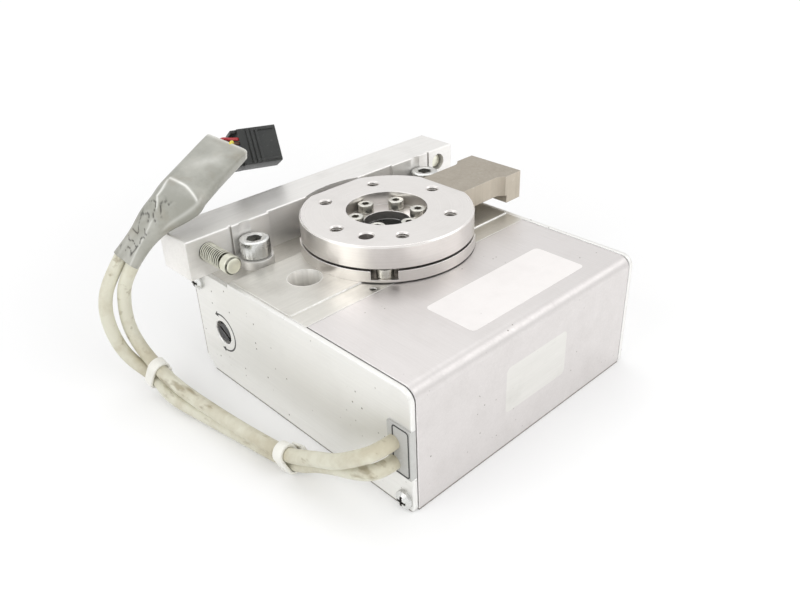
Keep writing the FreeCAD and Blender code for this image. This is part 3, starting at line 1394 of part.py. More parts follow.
def cables():
    """Both cables from the gland to the sleeve, tied together twice."""
    exits = {"upper": ("upper_cable_height", UPPER_ROUTE), "lower": ("lower_cable_height", LOWER_ROUTE)}
    foot = Vector(-value("body_left"), 0, 0)
    routes = {}
    for side, (height, route) in exits.items():
        start = Vector(-value("gland_outer"), -value("cable_line"), value(height))
        origins = {"gland": start, "foot": foot, "tie": foot, "bar": bar_point((0, 0, 0))}
        routes[side] = [start] + [origins[origin] + Vector(*offset) for origin, *offset in route]
        feature(side + "_cable", tube(side + "_cable", routes[side], value("cable_diameter")))
    ties = []
    for stop, (origin, *_) in enumerate(UPPER_ROUTE, start=1):
        if origin == "tie":
            along = routes["upper"][stop + 1] - routes["upper"][stop - 1]
            ties.append(cable_tie(routes["upper"][stop], routes["lower"][stop], along))
    feature("cable_ties", Part.makeCompound(ties))
    sleeve()
    lead_wires(connector())


def write_parts():
    """Check every object, then write one file for each sub-part."""
    doc.recompute()
    failed = [obj.Name for obj in doc.Objects if {"Invalid", "Error"} & set(obj.State)]
    failed += [obj.Label for obj in SUB_PARTS if obj.Shape.isNull() or not obj.Shape.isValid()]
    if failed:
        raise RuntimeError("not built: " + ", ".join(failed))
    os.makedirs("parts", exist_ok=True)
    for obj in SUB_PARTS:
        obj.Shape.exportStep(f"parts/{obj.Label}.step")
    print(len(SUB_PARTS), "sub-parts written")


casing()
table()
hollow_shaft()
table_bearings()
worm_wheel()
worm()
worm_bearings()
belt_drive()
motor()
stop_bar()
adjusters()
stop_arm()
plate_screws()
cables()
write_parts()
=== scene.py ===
"""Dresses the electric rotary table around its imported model.

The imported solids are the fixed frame.  Each sub-assembly below gives finishes to its solids and
builds the finer pieces that stand for some of them.  Sizes are in millimetres unless a name says
otherwise, X runs along the front face, Y to the stop bar and Z up from the foot.
"""

import functools
import logging
import math
from abc import ABC, abstractmethod
from collections.abc import Sequence
from dataclasses import dataclass, field, replace
from enum import Enum
from typing import Any

import bmesh
import bpy
from bmesh.types import BMEdge, BMesh, BMFace, BMVert
from bpy.types import Material, Node, NodeSocket, NodeTree, Object
from mathutils import Matrix, Vector, noise


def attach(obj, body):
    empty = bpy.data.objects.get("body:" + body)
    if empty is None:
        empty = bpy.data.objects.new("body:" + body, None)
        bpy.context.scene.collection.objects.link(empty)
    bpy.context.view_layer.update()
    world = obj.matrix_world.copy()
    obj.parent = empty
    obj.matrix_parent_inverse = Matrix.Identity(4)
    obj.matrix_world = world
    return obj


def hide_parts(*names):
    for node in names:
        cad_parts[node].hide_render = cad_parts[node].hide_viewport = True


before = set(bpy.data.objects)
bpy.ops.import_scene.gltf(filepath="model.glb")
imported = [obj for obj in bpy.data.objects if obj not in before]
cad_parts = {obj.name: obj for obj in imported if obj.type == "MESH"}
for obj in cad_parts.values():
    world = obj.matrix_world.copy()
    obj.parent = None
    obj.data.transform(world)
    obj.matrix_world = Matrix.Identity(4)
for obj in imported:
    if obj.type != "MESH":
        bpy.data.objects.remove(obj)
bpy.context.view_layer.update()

MM = 0.001
log = logging.getLogger("rotary_table")

Pair = tuple[float, float]
Triple = tuple[float, float, float]
Outline = Sequence[Pair]


def spot(x: float, y: float, z: float) -> Vector:
    """A place given in millimetres, as metres."""
    return Vector((x, y, z)) * MM


def basis(x: Vector, y: Vector, z: Vector, at: Vector) -> Matrix:
    """The frame of three directions at a place in metres."""
    return Matrix.Translation(at) @ Matrix((x, y, z)).transposed().to_4x4()


def square_to(way: Vector, along: Vector) -> Vector:
    """The direction nearest to a given one that is square to another."""
    return (way - along * way.dot(along)).normalized()


def shift(x: float, y: float, z: float) -> Matrix:
    """A move given in millimetres."""
    return Matrix.Translation(spot(x, y, z))


def on_circle(diameter: float, turn: float, height: float) -> Matrix:
    """A move to a place on a circle about Z, at an angle in degrees."""
    turn = math.radians(turn)
    return shift(diameter / 2 * math.cos(turn), diameter / 2 * math.sin(turn), height)


ALONG_Y = Matrix.Rotation(-math.pi / 2, 4, "X")
ALONG_X = Matrix.Rotation(math.pi / 2, 4, "Y")
FRONT_FACE = (Vector((1, 0, 0)), Vector((0, 0, 1)), Vector((0, -1, 0)))
LEFT_FACE = (Vector((0, -1, 0)), Vector((0, 0, 1)), Vector((-1, 0, 0)))


# Shader nodes


class NodeBoard:
    """Adds nodes to one tree and wires them."""

    def __init__(self, tree: NodeTree) -> None:
        """Start on a tree that is empty."""
        self.tree = tree

    def add(self, kind: str, sockets: dict[str | int, Any] | None = None, **settings: Any) -> Node:
        """Add a node.

        Args:
            kind: Blender's name of the node.
            sockets: Values of its inputs, or the outputs that feed them.
            settings: Properties of the node.

        Returns:
            The new node.
        """
        node = self.tree.nodes.new(kind)
        for name, setting in settings.items():
            setattr(node, name, setting)
        for name, given in (sockets or {}).items():
            if isinstance(given, NodeSocket):
                self.tree.links.new(given, node.inputs[name])
            elif node.inputs[name].type == "RGBA":
                node.inputs[name].default_value = (*given, 1.0)
            else:
                node.inputs[name].default_value = given
        return node

    def math(self, operation: str, a: Any, b: Any = 0.0, clamp: bool = False) -> NodeSocket:
        """A sum of two values, by Blender's name for it."""
        return self.add("ShaderNodeMath", {0: a, 1: b}, operation=operation, use_clamp=clamp).outputs[0]

    def times(self, a: Any, b: Any, clamp: bool = False) -> NodeSocket:
        """The product of two values."""
        return self.math("MULTIPLY", a, b, clamp)

    def most(self, a: Any, b: Any) -> NodeSocket:
        """The larger of two values."""
        return self.math("MAXIMUM", a, b)

    def vector(self, operation: str, a: Any, b: Any) -> NodeSocket:
        """A sum of two vectors, by Blender's name for it."""
        return self.add("ShaderNodeVectorMath", {0: a, 1: b}, operation=operation).outputs[0]

    def length(self, given: Any) -> NodeSocket:
        """How long a vector is."""
        return self.add("ShaderNodeVectorMath", {0: given}, operation="LENGTH").outputs["Value"]

    def axis(self, given: Any, index: int) -> NodeSocket:
        """One of a vector's three parts."""
        return self.add("ShaderNodeSeparateXYZ", {0: given}).outputs[index]

    def mix(self, share: Any, a: Any, b: Any) -> NodeSocket:
        """A colour between two colours."""
        return self.add("ShaderNodeMix", {0: share, 6: a, 7: b}, data_type="RGBA").outputs[2]

    def remap(self, given: Any, low: Any, high: Any, to_low: Any = 0.0, to_high: Any = 1.0) -> Any:
        """A value stretched from one range to another and kept inside it."""
        sockets = {"Value": given, "From Min": low, "From Max": high, "To Min": to_low, "To Max": to_high}
        return self.add("ShaderNodeMapRange", sockets).outputs[0]

    def noise(self, where: Any, scale: Any, detail: float = 3.0, rough: float = 0.55) -> NodeSocket:
        """Cloudy values around one half."""
        sockets = {"Vector": where, "Scale": scale, "Detail": detail, "Roughness": rough}
        return self.add("ShaderNodeTexNoise", sockets).outputs[0]

    def place(self) -> NodeSocket:
        """Coordinates on the piece itself, in metres."""
        return self.add("ShaderNodeTexCoord").outputs["Object"]

    def facing(self) -> NodeSocket:
        """The way that the surface faces."""
        return self.add("ShaderNodeNewGeometry").outputs["Normal"]

    def effect(self, tree: NodeTree, sockets: dict[str, Any]) -> Node:
        """A shared effect with its inputs."""
        return self.add("ShaderNodeGroup", sockets, node_tree=tree)

    def skin(self, bump: dict[str, Any], surface: dict[str, Any]) -> None:
        """End a material in a Principled surface over a bump.

        Args:
            bump: Inputs of the bump.
            surface: Inputs of the surface, but for its normal.
        """
        normal = self.add("ShaderNodeBump", bump).outputs[0]
        shader = self.add("ShaderNodeBsdfPrincipled", {**surface, "Normal": normal})
        self.add("ShaderNodeOutputMaterial", {"Surface": shader.outputs[0]})


def blank_material(name: str) -> tuple[Material, NodeBoard]:
    """Start a material.

    Args:
        name: Its name.

    Returns:
        The material without nodes, and the board to wire it on.
    """
    made = bpy.data.materials.new(name)
    made.use_nodes = True
    made.node_tree.nodes.clear()
    return made, NodeBoard(made.node_tree)


@dataclass
class EffectGroup:
    """A shader group in the making, with its two ends."""

    name: str
    inputs: dict[str, Any]
    outputs: tuple[str, ...]
    board: NodeBoard = field(init=False)
    source: Node = field(init=False)
    sink: Node = field(init=False)

    def __post_init__(self) -> None:
        """Make the group's tree and its sockets."""
        tree = bpy.data.node_groups.new(self.name, "ShaderNodeTree")
        for label, start in self.inputs.items():
            kind = "NodeSocketVector" if isinstance(start, tuple) else "NodeSocketFloat"
            tree.interface.new_socket(label, in_out="INPUT", socket_type=kind).default_value = start
        for label in self.outputs:
            kind = "NodeSocketVector" if label == "Normal" else "NodeSocketFloat"
            tree.interface.new_socket(label, in_out="OUTPUT", socket_type=kind)
        self.board = NodeBoard(tree)
        self.source = self.board.add("NodeGroupInput")
        self.sink = self.board.add("NodeGroupOutput")

    def given(self, label: str) -> NodeSocket:
        """The value that a material gives the group."""
        return self.source.outputs[label]

    def put(self, label: str, socket: NodeSocket) -> None:
        """Send a value out of the group."""
        self.board.tree.links.new(socket, self.sink.inputs[label])

    def polar(self) -> tuple[NodeSocket, NodeSocket, NodeSocket]:
        """Where a point lies about an axis.

        Returns:
            The place from the group's Centre, its part Across the axis and how long that part is.
        """
        local = self.board.vector("SUBTRACT", self.board.place(), self.given("Centre"))
        spread = self.board.vector("MULTIPLY", local, self.given("Across"))
        return local, spread, self.board.length(spread)


@functools.cache
def edge_wear_and_highlight() -> NodeTree:
    """Rubbed edges that also serve as painted highlights: a broken mask along them, and the normal of a slightly
    rounded edge.

    Returns:
        The group's tree.
    """
    group = EffectGroup("edge_wear_and_highlight", {"Radius": 0.0004, "Breakup": 300.0}, ("Mask", "Normal"))
    board = group.board
    eased = board.add("ShaderNodeBevel", {"Radius": group.given("Radius")}, samples=6).outputs[0]
    along = board.add("ShaderNodeVectorMath", {0: eased, 1: board.facing()}, operation="DOT_PRODUCT")
    bend = board.math("SUBTRACT", 1.0, along.outputs["Value"])
    broken = board.remap(board.noise(board.place(), group.given("Breakup")), 0.35, 0.65, 0.35, 1.0)
    group.put("Mask", board.times(board.remap(bend, 0.01, 0.16), broken, clamp=True))
    group.put("Normal", eased)
    return board.tree


@functools.cache
def brush_marks() -> NodeTree:
    """Fine straight marks of a belt or brush, or a blasted grain where no way is longer.

    Returns:
        The group's tree.
    """
    group = EffectGroup("brush_marks", {"Stretch": (1.0, 1.0, 1.0), "Scale": 900.0}, ("Tone", "Height"))
    board = group.board
    where = board.vector("MULTIPLY", board.place(), group.given("Stretch"))
    fine = board.noise(where, group.given("Scale"), 4.0, 0.6)
    broad = board.noise(where, board.times(group.given("Scale"), 0.11), 2.0)
    both = board.math("ADD", board.times(fine, 0.65), board.times(broad, 0.35))
    group.put("Tone", board.remap(both, 0.35, 0.65))
    group.put("Height", fine)
    return board.tree


@functools.cache
def turning_marks() -> NodeTree:
    """Rings left by a lathe tool about an axis, with the wider bands that the light finds in them.

    Returns:
        The group's tree.
    """
    group = EffectGroup(
        "turning_marks",
        {"Centre": (0.0, 0.0, 0.0), "Across": (1.0, 1.0, 0.0), "Scale": 900.0},
        ("Tone", "Height"),
    )
    board = group.board
    local, spread, radius = group.polar()
    along = board.length(board.vector("SUBTRACT", local, spread))
    rings = board.add("ShaderNodeCombineXYZ", {0: radius, 1: along}).outputs[0]
    fine = board.noise(rings, group.given("Scale"), 3.0, 0.6)
    broad = board.noise(rings, board.times(group.given("Scale"), 0.12), 2.0)
    cloudy = board.noise(local, 70.0, 2.0)
    both = board.math("ADD", board.times(fine, 0.45), board.times(broad, 0.3))
    group.put("Tone", board.remap(board.math("ADD", both, board.times(cloudy, 0.25)), 0.36, 0.64))
    group.put("Height", fine)
    return board.tree


@functools.cache
def dirt_and_corner_shade() -> NodeTree:
    """Handling dirt: faint clouds and small specks, with painted shade that darkens corners.

    Returns:
        The group's tree.
    """
    group = EffectGroup(
        "dirt_and_corner_shade",
        {"Scale": 60.0, "Clouds": 0.2, "Specks": 0.3, "Rare": 0.56, "Corner Shade": 0.3},
        ("Mask",),
    )
    board = group.board
    where = board.place()
    clouds = board.remap(board.noise(where, group.given("Scale"), 5.0, 0.6), 0.5, 0.72)
    clouds = board.times(clouds, group.given("Clouds"))
    cell = {"Vector": where, "Scale": board.times(group.given("Scale"), 5.5), "Randomness": 1.0}
    speck = board.remap(board.add("ShaderNodeTexVoronoi", cell).outputs["Distance"], 0.13, 0.05)
    rare = board.math("SUBTRACT", board.noise(where, board.times(group.given("Scale"), 1.7), 2.0),
                      group.given("Rare"))
    rare = board.remap(rare, 0.0, 0.1)
    speck = board.times(board.times(speck, rare), group.given("Specks"))
    # Painted shade: ambient occlusion darkens corners and recesses.
    occlusion = board.add("ShaderNodeAmbientOcclusion", {"Distance": 0.004}, samples=5, only_local=True)
    corner = board.times(board.remap(occlusion.outputs["AO"], 0.75, 0.2), group.given("Corner Shade"))
    group.put("Mask", board.math("ADD", board.most(clouds, speck), corner, clamp=True))
    return board.tree


@functools.cache
def scratch_marks() -> NodeTree:
    """Short fine scratches that lie three ways across a surface.

    Returns:
        The group's tree.
    """
    group = EffectGroup("scratch_marks", {"Scale": 55.0}, ("Mask",))
    board = group.board
    total: Any = 0.0
    for turn in (0.5, 1.9, 2.7):
        lie = board.add("ShaderNodeMapping", {"Vector": board.place(), "Rotation": (turn * 0.6, turn * 1.3, turn)})
        thin = board.vector("MULTIPLY", lie.outputs[0], (0.6, 14.0, 14.0))
        line = board.remap(board.noise(thin, group.given("Scale"), 2.0), 0.68, 0.74)
        total = board.math("ADD", total, line, clamp=True)
    group.put("Mask", total)
    return board.tree


@functools.cache
def groove_shade() -> NodeTree:
    """Painted shade that darkens a thread towards its root.

    Returns:
        The group's tree.
    """
    group = EffectGroup(
        "groove_shade",
        {"Centre": (0.0, 0.0, 0.0), "Across": (1.0, 1.0, 0.0), "Root": 0.0032, "Crest": 0.004},
        ("Mask",),
    )
    board = group.board
    radius = group.polar()[2]
    depth = board.remap(radius, group.given("Root"), group.given("Crest"), 1.0, 0.0)
    skin = board.math("GREATER_THAN", radius, board.math("SUBTRACT", group.given("Root"), 0.4 * MM))
    depth = board.times(depth, skin)
    uneven = board.remap(board.noise(board.place(), 260.0, 3.0), 0.3, 0.6, 0.45, 1.0)
    group.put("Mask", board.times(depth, uneven, clamp=True))
    return board.tree


# Finishes

# Heights in millimetres over which the painted contact shadow fades above the foot, and depths from the back edge over
# which the back band fades.
FOOT_SHADOW_BAND = (0.3, 0.8)
BACK_BAND = (0.7, 0.2)


class Grain(Enum):
    """How a surface was worked: along an axis, round an axis or blasted all over."""

    ALONG_X = (0.035, 1.0, 1.0)
    ALONG_Y = (1.0, 0.035, 1.0)
    ALONG_Z = (1.0, 1.0, 0.035)
    ROUND_Y = (1.0, 0.0, 1.0)
    ROUND_Z = (1.0, 1.0, 0.0)
    BLASTED = (1.0, 1.0, 1.0)

    @property
    def turned(self) -> bool:
        """True for the marks of a lathe."""
        return 0.0 in self.value


@dataclass(frozen=True)
class Finish:
    """A surface with its grain, rubbed edges that also carry painted highlights, scratches, dirt and painted shade."""

    name: str
    colour: Triple
    metallic: float = 1.0
    roughness: float = 0.35
    grain: Grain = Grain.BLASTED
    centre: Triple = (0.0, 0.0, 0.0)
    grain_scale: float = 900.0
    grain_depth: float = 0.01
    tone: float = 0.12
    # Rubbed edges, lightened also as painted highlights along the edges, and how wide they are.
    wear_and_highlight: float = 0.35
    edge_radius: float = 0.35
    scratches: float = 0.12
    clouds: float = 0.1
    specks: float = 0.3
    # Painted shade that darkens corners and recesses.
    corners: float = 0.3
    # Painted shade: the share of its colour that a face turned upwards keeps.
    painted_top_level: float = 1.0
    # Painted shadow: how dark the contact shadow just above the foot is.
    foot_shadow: float = 0.0
    # Y of the back edge that a darkening band runs towards; 0 for none.
    back_line: float = 0.0
    soil_scale: float = 60.0
    soil_rare: float = 0.56
    # The colour of dirt and of painted shade.
    dirt_and_shade_colour: Triple = (0.13, 0.11, 0.08)
    thread: Pair | None = None

    def worked(self, board: NodeBoard) -> Node:
        """How the surface was worked.

        Args:
            board: The material's board.

        Returns:
            The node of its grain.
        """
        if self.grain.turned:
            centre = tuple(spot(*self.centre))
            sockets = {"Centre": centre, "Across": self.grain.value, "Scale": self.grain_scale}
            return board.effect(turning_marks(), sockets)
        return board.effect(brush_marks(), {"Stretch": self.grain.value, "Scale": self.grain_scale})

    def dirt_and_shade(self, board: NodeBoard) -> NodeSocket:
        """Where the surface is soiled, and where shade is painted on it.

        Args:
            board: The material's board.

        Returns:
            The mask of its dirt and painted shade, and of a band darker towards the back edge.
        """
        sockets = {"Scale": self.soil_scale, "Clouds": self.clouds, "Specks": self.specks, "Rare": self.soil_rare,
                   "Corner Shade": self.corners}
        mask = board.effect(dirt_and_corner_shade(), sockets).outputs["Mask"]
        # Painted shade in the thread's roots.
        if self.thread:
            root, crest = self.thread
            sockets = {"Centre": tuple(spot(*self.centre)), "Across": self.grain.value, "Root": root * MM,
                       "Crest": crest * MM}
            mask = board.most(mask, board.effect(groove_shade(), sockets).outputs["Mask"])
        # Painted shadow: a contact shadow darkens the faces just above the foot.
        if self.foot_shadow:
            low, high = (height * MM for height in FOOT_SHADOW_BAND)
            line = board.remap(board.axis(board.place(), 2), low, high, self.foot_shadow, 0.0)
            mask = board.most(mask, line)
        # A band darker towards the back edge, on faces turned to the side.
        if self.back_line:
            low, high = ((self.back_line - depth) * MM for depth in BACK_BAND)
            line = board.remap(board.axis(board.place(), 1), low, high)
            side = board.math("ABSOLUTE", board.axis(board.facing(), 0))
            line = board.times(line, board.remap(side, 0.6, 0.8, 0.0, 0.7))
            mask = board.most(mask, line)
        return mask

    def material(self) -> Material:
        """The finish as a material, made once.

        Returns:
            The material to put on a piece.
        """
        found = bpy.data.materials.get(self.name)
        if found:
            return found
        made, board = blank_material(self.name)
        grain, dirt_and_shade = self.worked(board), self.dirt_and_shade(board)
        edges = board.effect(edge_wear_and_highlight(), {"Radius": self.edge_radius * MM, "Breakup": 420.0})
        lines = board.effect(scratch_marks(), {"Scale": 55.0}).outputs["Mask"]
        dark = tuple(part * 0.55 for part in self.colour)
        light = tuple(part + (1.0 - part) * 0.7 for part in self.colour)
        share = board.times(board.math("SUBTRACT", 1.0, grain.outputs["Tone"]), self.tone)
        colour = board.mix(share, self.colour, dark)
        # Painted shade: faces turned upwards are darkened towards black.
        if self.painted_top_level < 1.0:
            upper = board.remap(board.axis(board.facing(), 2), 0.5, 0.9, 0.0, 1.0 - self.painted_top_level)
            colour = board.mix(upper, colour, (0.0, 0.0, 0.0))
        # Rubbed edges and scratches lighten the colour; along the edges this is partly a painted highlight.
        rubbed_and_highlit = board.times(edges.outputs["Mask"], self.wear_and_highlight)
        rubbed_and_highlit = board.most(rubbed_and_highlit, board.times(lines, self.scratches))
        colour = board.mix(rubbed_and_highlit, colour, light)
        # Dirt and painted shade darken the colour together.
        colour = board.mix(dirt_and_shade, colour, self.dirt_and_shade_colour)
        swing = board.remap(grain.outputs["Tone"], 0.0, 1.0, self.roughness * 1.2, self.roughness * 0.85)
        rough = board.math("ADD", swing, board.times(dirt_and_shade, 0.3), clamp=True)
        board.skin(
            {"Strength": 0.6, "Distance": self.grain_depth * MM, "Height": grain.outputs["Height"],
             "Normal": edges.outputs["Normal"]},
            {"Base Color": colour, "Metallic": self.metallic, "Roughness": rough},
        )
        return made


ANODISED = Finish(
    "satin_anodised_sheet", (0.655, 0.63, 0.62), roughness=0.42, grain=Grain.ALONG_Y, grain_scale=1500.0,
    tone=0.06, wear_and_highlight=0.9, edge_radius=0.8, scratches=0.08, clouds=0.05, specks=0.9, corners=0.1, foot_shadow=0.85,
)
# Painted light: a lighter, less metallic copy of the anodised sheet, so that the side plates show brighter.
LIT_END_PLATE = replace(
    ANODISED, name="satin_end_plate", metallic=0.75, colour=(0.80, 0.795, 0.77), wear_and_highlight=0.85, edge_radius=1.0, specks=1.0,
    soil_scale=48.0, soil_rare=0.47, back_line=47.0,
)
# Painted light: the bores' walls and rims are lighter and less metallic than the housing, so that they show lit.
LIT_BORED_WALL = Finish(
    "lit_bored_wall", (0.95, 0.93, 0.88), metallic=0.2, roughness=0.35, grain=Grain.ALONG_Z, grain_scale=420.0, tone=0.8,
    wear_and_highlight=0.6, edge_radius=0.4, corners=0.1,
)
HOUSING = Finish(
    "milled_housing", (0.66, 0.645, 0.60), metallic=0.9, roughness=0.33, grain=Grain.ALONG_X, grain_scale=800.0,
    tone=0.2, wear_and_highlight=0.95, edge_radius=0.8, clouds=0.16, corners=0.05,
)
# The turned table's upward faces carry painted shade.
TURNED_PLATE = Finish(
    "turned_table", (0.86, 0.83, 0.805), painted_top_level=0.88, roughness=0.3, grain=Grain.ROUND_Z, grain_scale=1500.0, tone=0.18,
    wear_and_highlight=0.9, edge_radius=0.45, scratches=0.08, specks=0.15, corners=0.25,
)
# Painted shade: a darker copy of the table's finish for the thread inside the holes.
SHADED_TAPPED_HOLE = replace(
    TURNED_PLATE, name="shaded_tapped_hole", colour=(0.42, 0.40, 0.375), wear_and_highlight=0.5, edge_radius=0.2, corners=0.6,
)
TURNED_RING = Finish(
    "turned_ring", (0.78, 0.75, 0.72), roughness=0.3, grain=Grain.ROUND_Z, grain_scale=1200.0, tone=0.22,
    wear_and_highlight=0.8, edge_radius=0.4, corners=0.7,
)
# The bar's upward faces carry painted shade.
MILLED_BAR = Finish(
    "milled_bar", (0.86, 0.845, 0.82), painted_top_level=0.89, metallic=0.7, roughness=0.38, grain=Grain.ALONG_X,
    grain_scale=1100.0, grain_depth=0.003, wear_and_highlight=0.85, edge_radius=0.4, scratches=0.08, specks=0.2, corners=0.35,
)
# The arm's upward faces carry painted shade.
NICKEL_ARM = Finish(
    "nickel_arm", (0.51, 0.455, 0.375), painted_top_level=0.72, metallic=0.3, roughness=0.5, grain=Grain.ALONG_Z,
    grain_scale=700.0, tone=0.16, wear_and_highlight=0.4, clouds=0.14,
)
ZINC = Finish(
    "zinc_screw", (0.66, 0.665, 0.65), roughness=0.25, grain=Grain.ROUND_Z, grain_scale=1800.0, tone=0.25,
    wear_and_highlight=0.6, clouds=0.2, corners=0.8,
)
NICKEL_SCREW = Finish(
    "nickel_screw", (0.63, 0.62, 0.57), roughness=0.28, grain_scale=1800.0, tone=0.25,
    wear_and_highlight=0.6, clouds=0.2, corners=0.8,
)
# Near-black dirt and painted shade, darkest in the thread roots.
YELLOW_ZINC = Finish(
    "yellow_zinc_left", (0.80, 0.795, 0.675), roughness=0.3, grain=Grain.ROUND_Y, centre=(-68, 0, 60.6),
    grain_scale=900.0, tone=0.2, wear_and_highlight=0.5, clouds=0.25, corners=0.6, dirt_and_shade_colour=(0.03, 0.028, 0.018),
    thread=(3.6, 4.0),
)
YELLOW_ZINC_RIGHT = replace(YELLOW_ZINC, name="yellow_zinc_right", centre=(68, 0, 60.6))
YELLOW_ZINC_NUT = replace(YELLOW_ZINC, name="yellow_zinc_nut", thread=None)
STEEL = Finish("ground_steel", (0.56, 0.56, 0.55), roughness=0.28, grain_scale=1500.0)
DARK_STEEL = Finish(
    "blackened_steel", (0.055, 0.055, 0.058), metallic=0.8, roughness=0.42, grain_scale=1300.0, tone=0.3
)
BRONZE = Finish(
    "bronze_wheel", (0.62, 0.42, 0.19), roughness=0.34, grain=Grain.ROUND_Z, grain_scale=900.0, tone=0.25
)
BLACK_PLASTIC = Finish(
    "black_moulding", (0.022, 0.024, 0.023), metallic=0.0, roughness=0.45, grain_scale=1600.0, grain_depth=0.02,
    tone=0.3, wear_and_highlight=0.12, scratches=0.04, clouds=0.1, specks=0.2, dirt_and_shade_colour=(0.12, 0.12, 0.11),
)
GREY_PLASTIC = Finish(
    "grey_moulding", (0.53, 0.53, 0.51), metallic=0.0, roughness=0.5, grain_scale=1600.0, grain_depth=0.02,
    tone=0.2, wear_and_highlight=0.2, clouds=0.15, specks=0.4, corners=0.5,
)
WHITE_PLASTIC = Finish(
    "white_nylon", (0.86, 0.85, 0.79), metallic=0.0, roughness=0.38, grain_scale=1400.0, tone=0.08, wear_and_highlight=0.15,
    clouds=0.12, specks=0.35, corners=0.35, dirt_and_shade_colour=(0.34, 0.28, 0.18),
)
BELT_RUBBER = Finish(
    "belt_rubber", (0.03, 0.03, 0.031), metallic=0.0, roughness=0.75, grain_scale=1500.0, grain_depth=0.03,
    tone=0.4, wear_and_highlight=0.2,
)
PAPER = Finish(
    "white_paper", (0.87, 0.84, 0.825), metallic=0.0, roughness=0.55, grain_scale=1900.0, grain_depth=0.004,
    tone=0.06, wear_and_highlight=0.05, edge_radius=0.02, scratches=0.0, clouds=0.05, specks=0.25, corners=0.0,
)
FOIL = Finish(
    "silver_foil", (0.70, 0.69, 0.66), metallic=0.75, roughness=0.38, grain=Grain.ALONG_X, grain_scale=2200.0,
    grain_depth=0.003, tone=0.08, wear_and_highlight=0.1, edge_radius=0.02, scratches=0.1, specks=0.3, corners=0.0,
)
PRINT_INK = Finish(
    "printed_line", (0.05, 0.05, 0.05), metallic=0.0, roughness=0.5, grain_scale=3000.0, grain_depth=0.002,
    tone=0.3, wear_and_highlight=0.0, edge_radius=0.02, scratches=0.3, corners=0.0,
)


@dataclass(frozen=True)
class JacketFinish:
    """The skin of a cable: cream plastic with long smears and dark marks."""

    name: str = "cream_jacket"
    colour: Triple = (0.68, 0.665, 0.55)
    shade: Triple = (0.47, 0.42, 0.30)
    smear: Triple = (0.24, 0.19, 0.10)
    roughness: float = 0.42

    def material(self) -> Material:
        """The jacket as a material.

        Returns:
            The material to put on a cable.
        """
        made, board = blank_material(self.name)
        where = board.place()
        clouds = board.remap(board.noise(where, 42.0, 6.0, 0.62), 0.44, 0.62)
        drawn = board.vector("MULTIPLY", where, (1.0, 0.35, 1.0))
        smears = board.remap(board.noise(drawn, 210.0), 0.59, 0.69)
        sockets = {"Scale": 80.0, "Clouds": 0.0, "Specks": 0.9, "Corner Shade": 0.0}
        marks = board.effect(dirt_and_corner_shade(), sockets).outputs["Mask"]
        colour = board.mix(board.times(clouds, 0.7), self.colour, self.shade)
        dark = board.most(board.times(smears, 0.6), marks)
        colour = board.mix(dark, colour, self.smear)
        rough = board.remap(clouds, 0.0, 1.0, self.roughness, self.roughness + 0.18)
        board.skin(
            {"Strength": 0.5, "Distance": 0.03 * MM, "Height": board.noise(where, 1500.0)},
            {"Base Color": colour, "Roughness": rough, "Specular IOR Level": 0.4},
        )
        return made


@dataclass(frozen=True)
class SleeveFinish:
    """Grey shrunk tubing: glossy, with painted highlights along its raised folds, painted shade in its pinched
    wrinkles, and brown smudges.
    """

    name: str = "shrunk_grey_sleeve"
    colour: Triple = (0.30, 0.30, 0.262)
    pale: Triple = (0.46, 0.455, 0.41)
    # Painted highlight colour for the raised folds and the mouth's lip.
    fold_highlight_colour: Triple = (0.88, 0.88, 0.84)
    smudge: Triple = (0.22, 0.17, 0.10)
    # Painted shade colour for the pinched wrinkles.
    crease_shade: Triple = (0.03, 0.028, 0.02)
    roughness: float = 0.34

    def material(self) -> Material:
        """The sleeve as a material.

        Returns:
            The material to put on the sleeve.
        """
        made, board = blank_material(self.name)
        where = board.place()
        clouds = board.remap(board.noise(where, 55.0, 5.0, 0.6), 0.40, 0.62)
        # Smudges and specks, with a little painted shade in corners.
        sockets = {"Scale": 85.0, "Clouds": 0.3, "Specks": 0.7, "Corner Shade": 0.25}
        marks = board.effect(dirt_and_corner_shade(), sockets).outputs["Mask"]
        # Painted highlight along the raised folds and the mouth's lip.
        fold_highlight = board.add("ShaderNodeAttribute", attribute_name="fold_highlight").outputs["Fac"]
        # Painted shade in the pinched wrinkles.
        crease_shade_mask = board.add("ShaderNodeAttribute", attribute_name="pinch_and_shade").outputs["Fac"]
        colour = board.mix(board.times(clouds, 0.65), self.colour, self.pale)
        colour = board.mix(fold_highlight, colour, self.fold_highlight_colour)
        colour = board.mix(marks, colour, self.smudge)
        colour = board.mix(crease_shade_mask, colour, self.crease_shade)
        rough = board.remap(clouds, 0.0, 1.0, self.roughness, self.roughness + 0.15)
        board.skin(
            {"Strength": 0.5, "Distance": 0.04 * MM, "Height": board.noise(where, 900.0)},
            {"Base Color": colour, "Roughness": rough, "Coat Weight": 0.25, "Coat Roughness": 0.2},
        )
        return made


# Meshes


def merge(target: BMesh, part: BMesh, matrix: Matrix) -> None:
    """Move a shape to its place and add it to another, which then owns it.

    Args:
        target: The shape that grows.
        part: The shape that is added and freed.
        matrix: Where it goes.
    """
    bmesh.ops.remove_doubles(part, verts=part.verts, dist=1e-7)
    bmesh.ops.recalc_face_normals(part, faces=part.faces)
    carrier = bpy.data.meshes.new("carrier")
    part.to_mesh(carrier)
    part.free()
    carrier.transform(matrix)
    target.from_mesh(carrier)
    bpy.data.meshes.remove(carrier)


def bevel(shape: BMesh, geom: list[Any], width: float, segments: int, affect: str = "EDGES") -> None:
    """Round some edges or corners of a shape."""
    bmesh.ops.bevel(
        shape, geom=geom, offset=width * MM, segments=segments, profile=0.5, affect=affect, material=-1,
        clamp_overlap=True,
    )


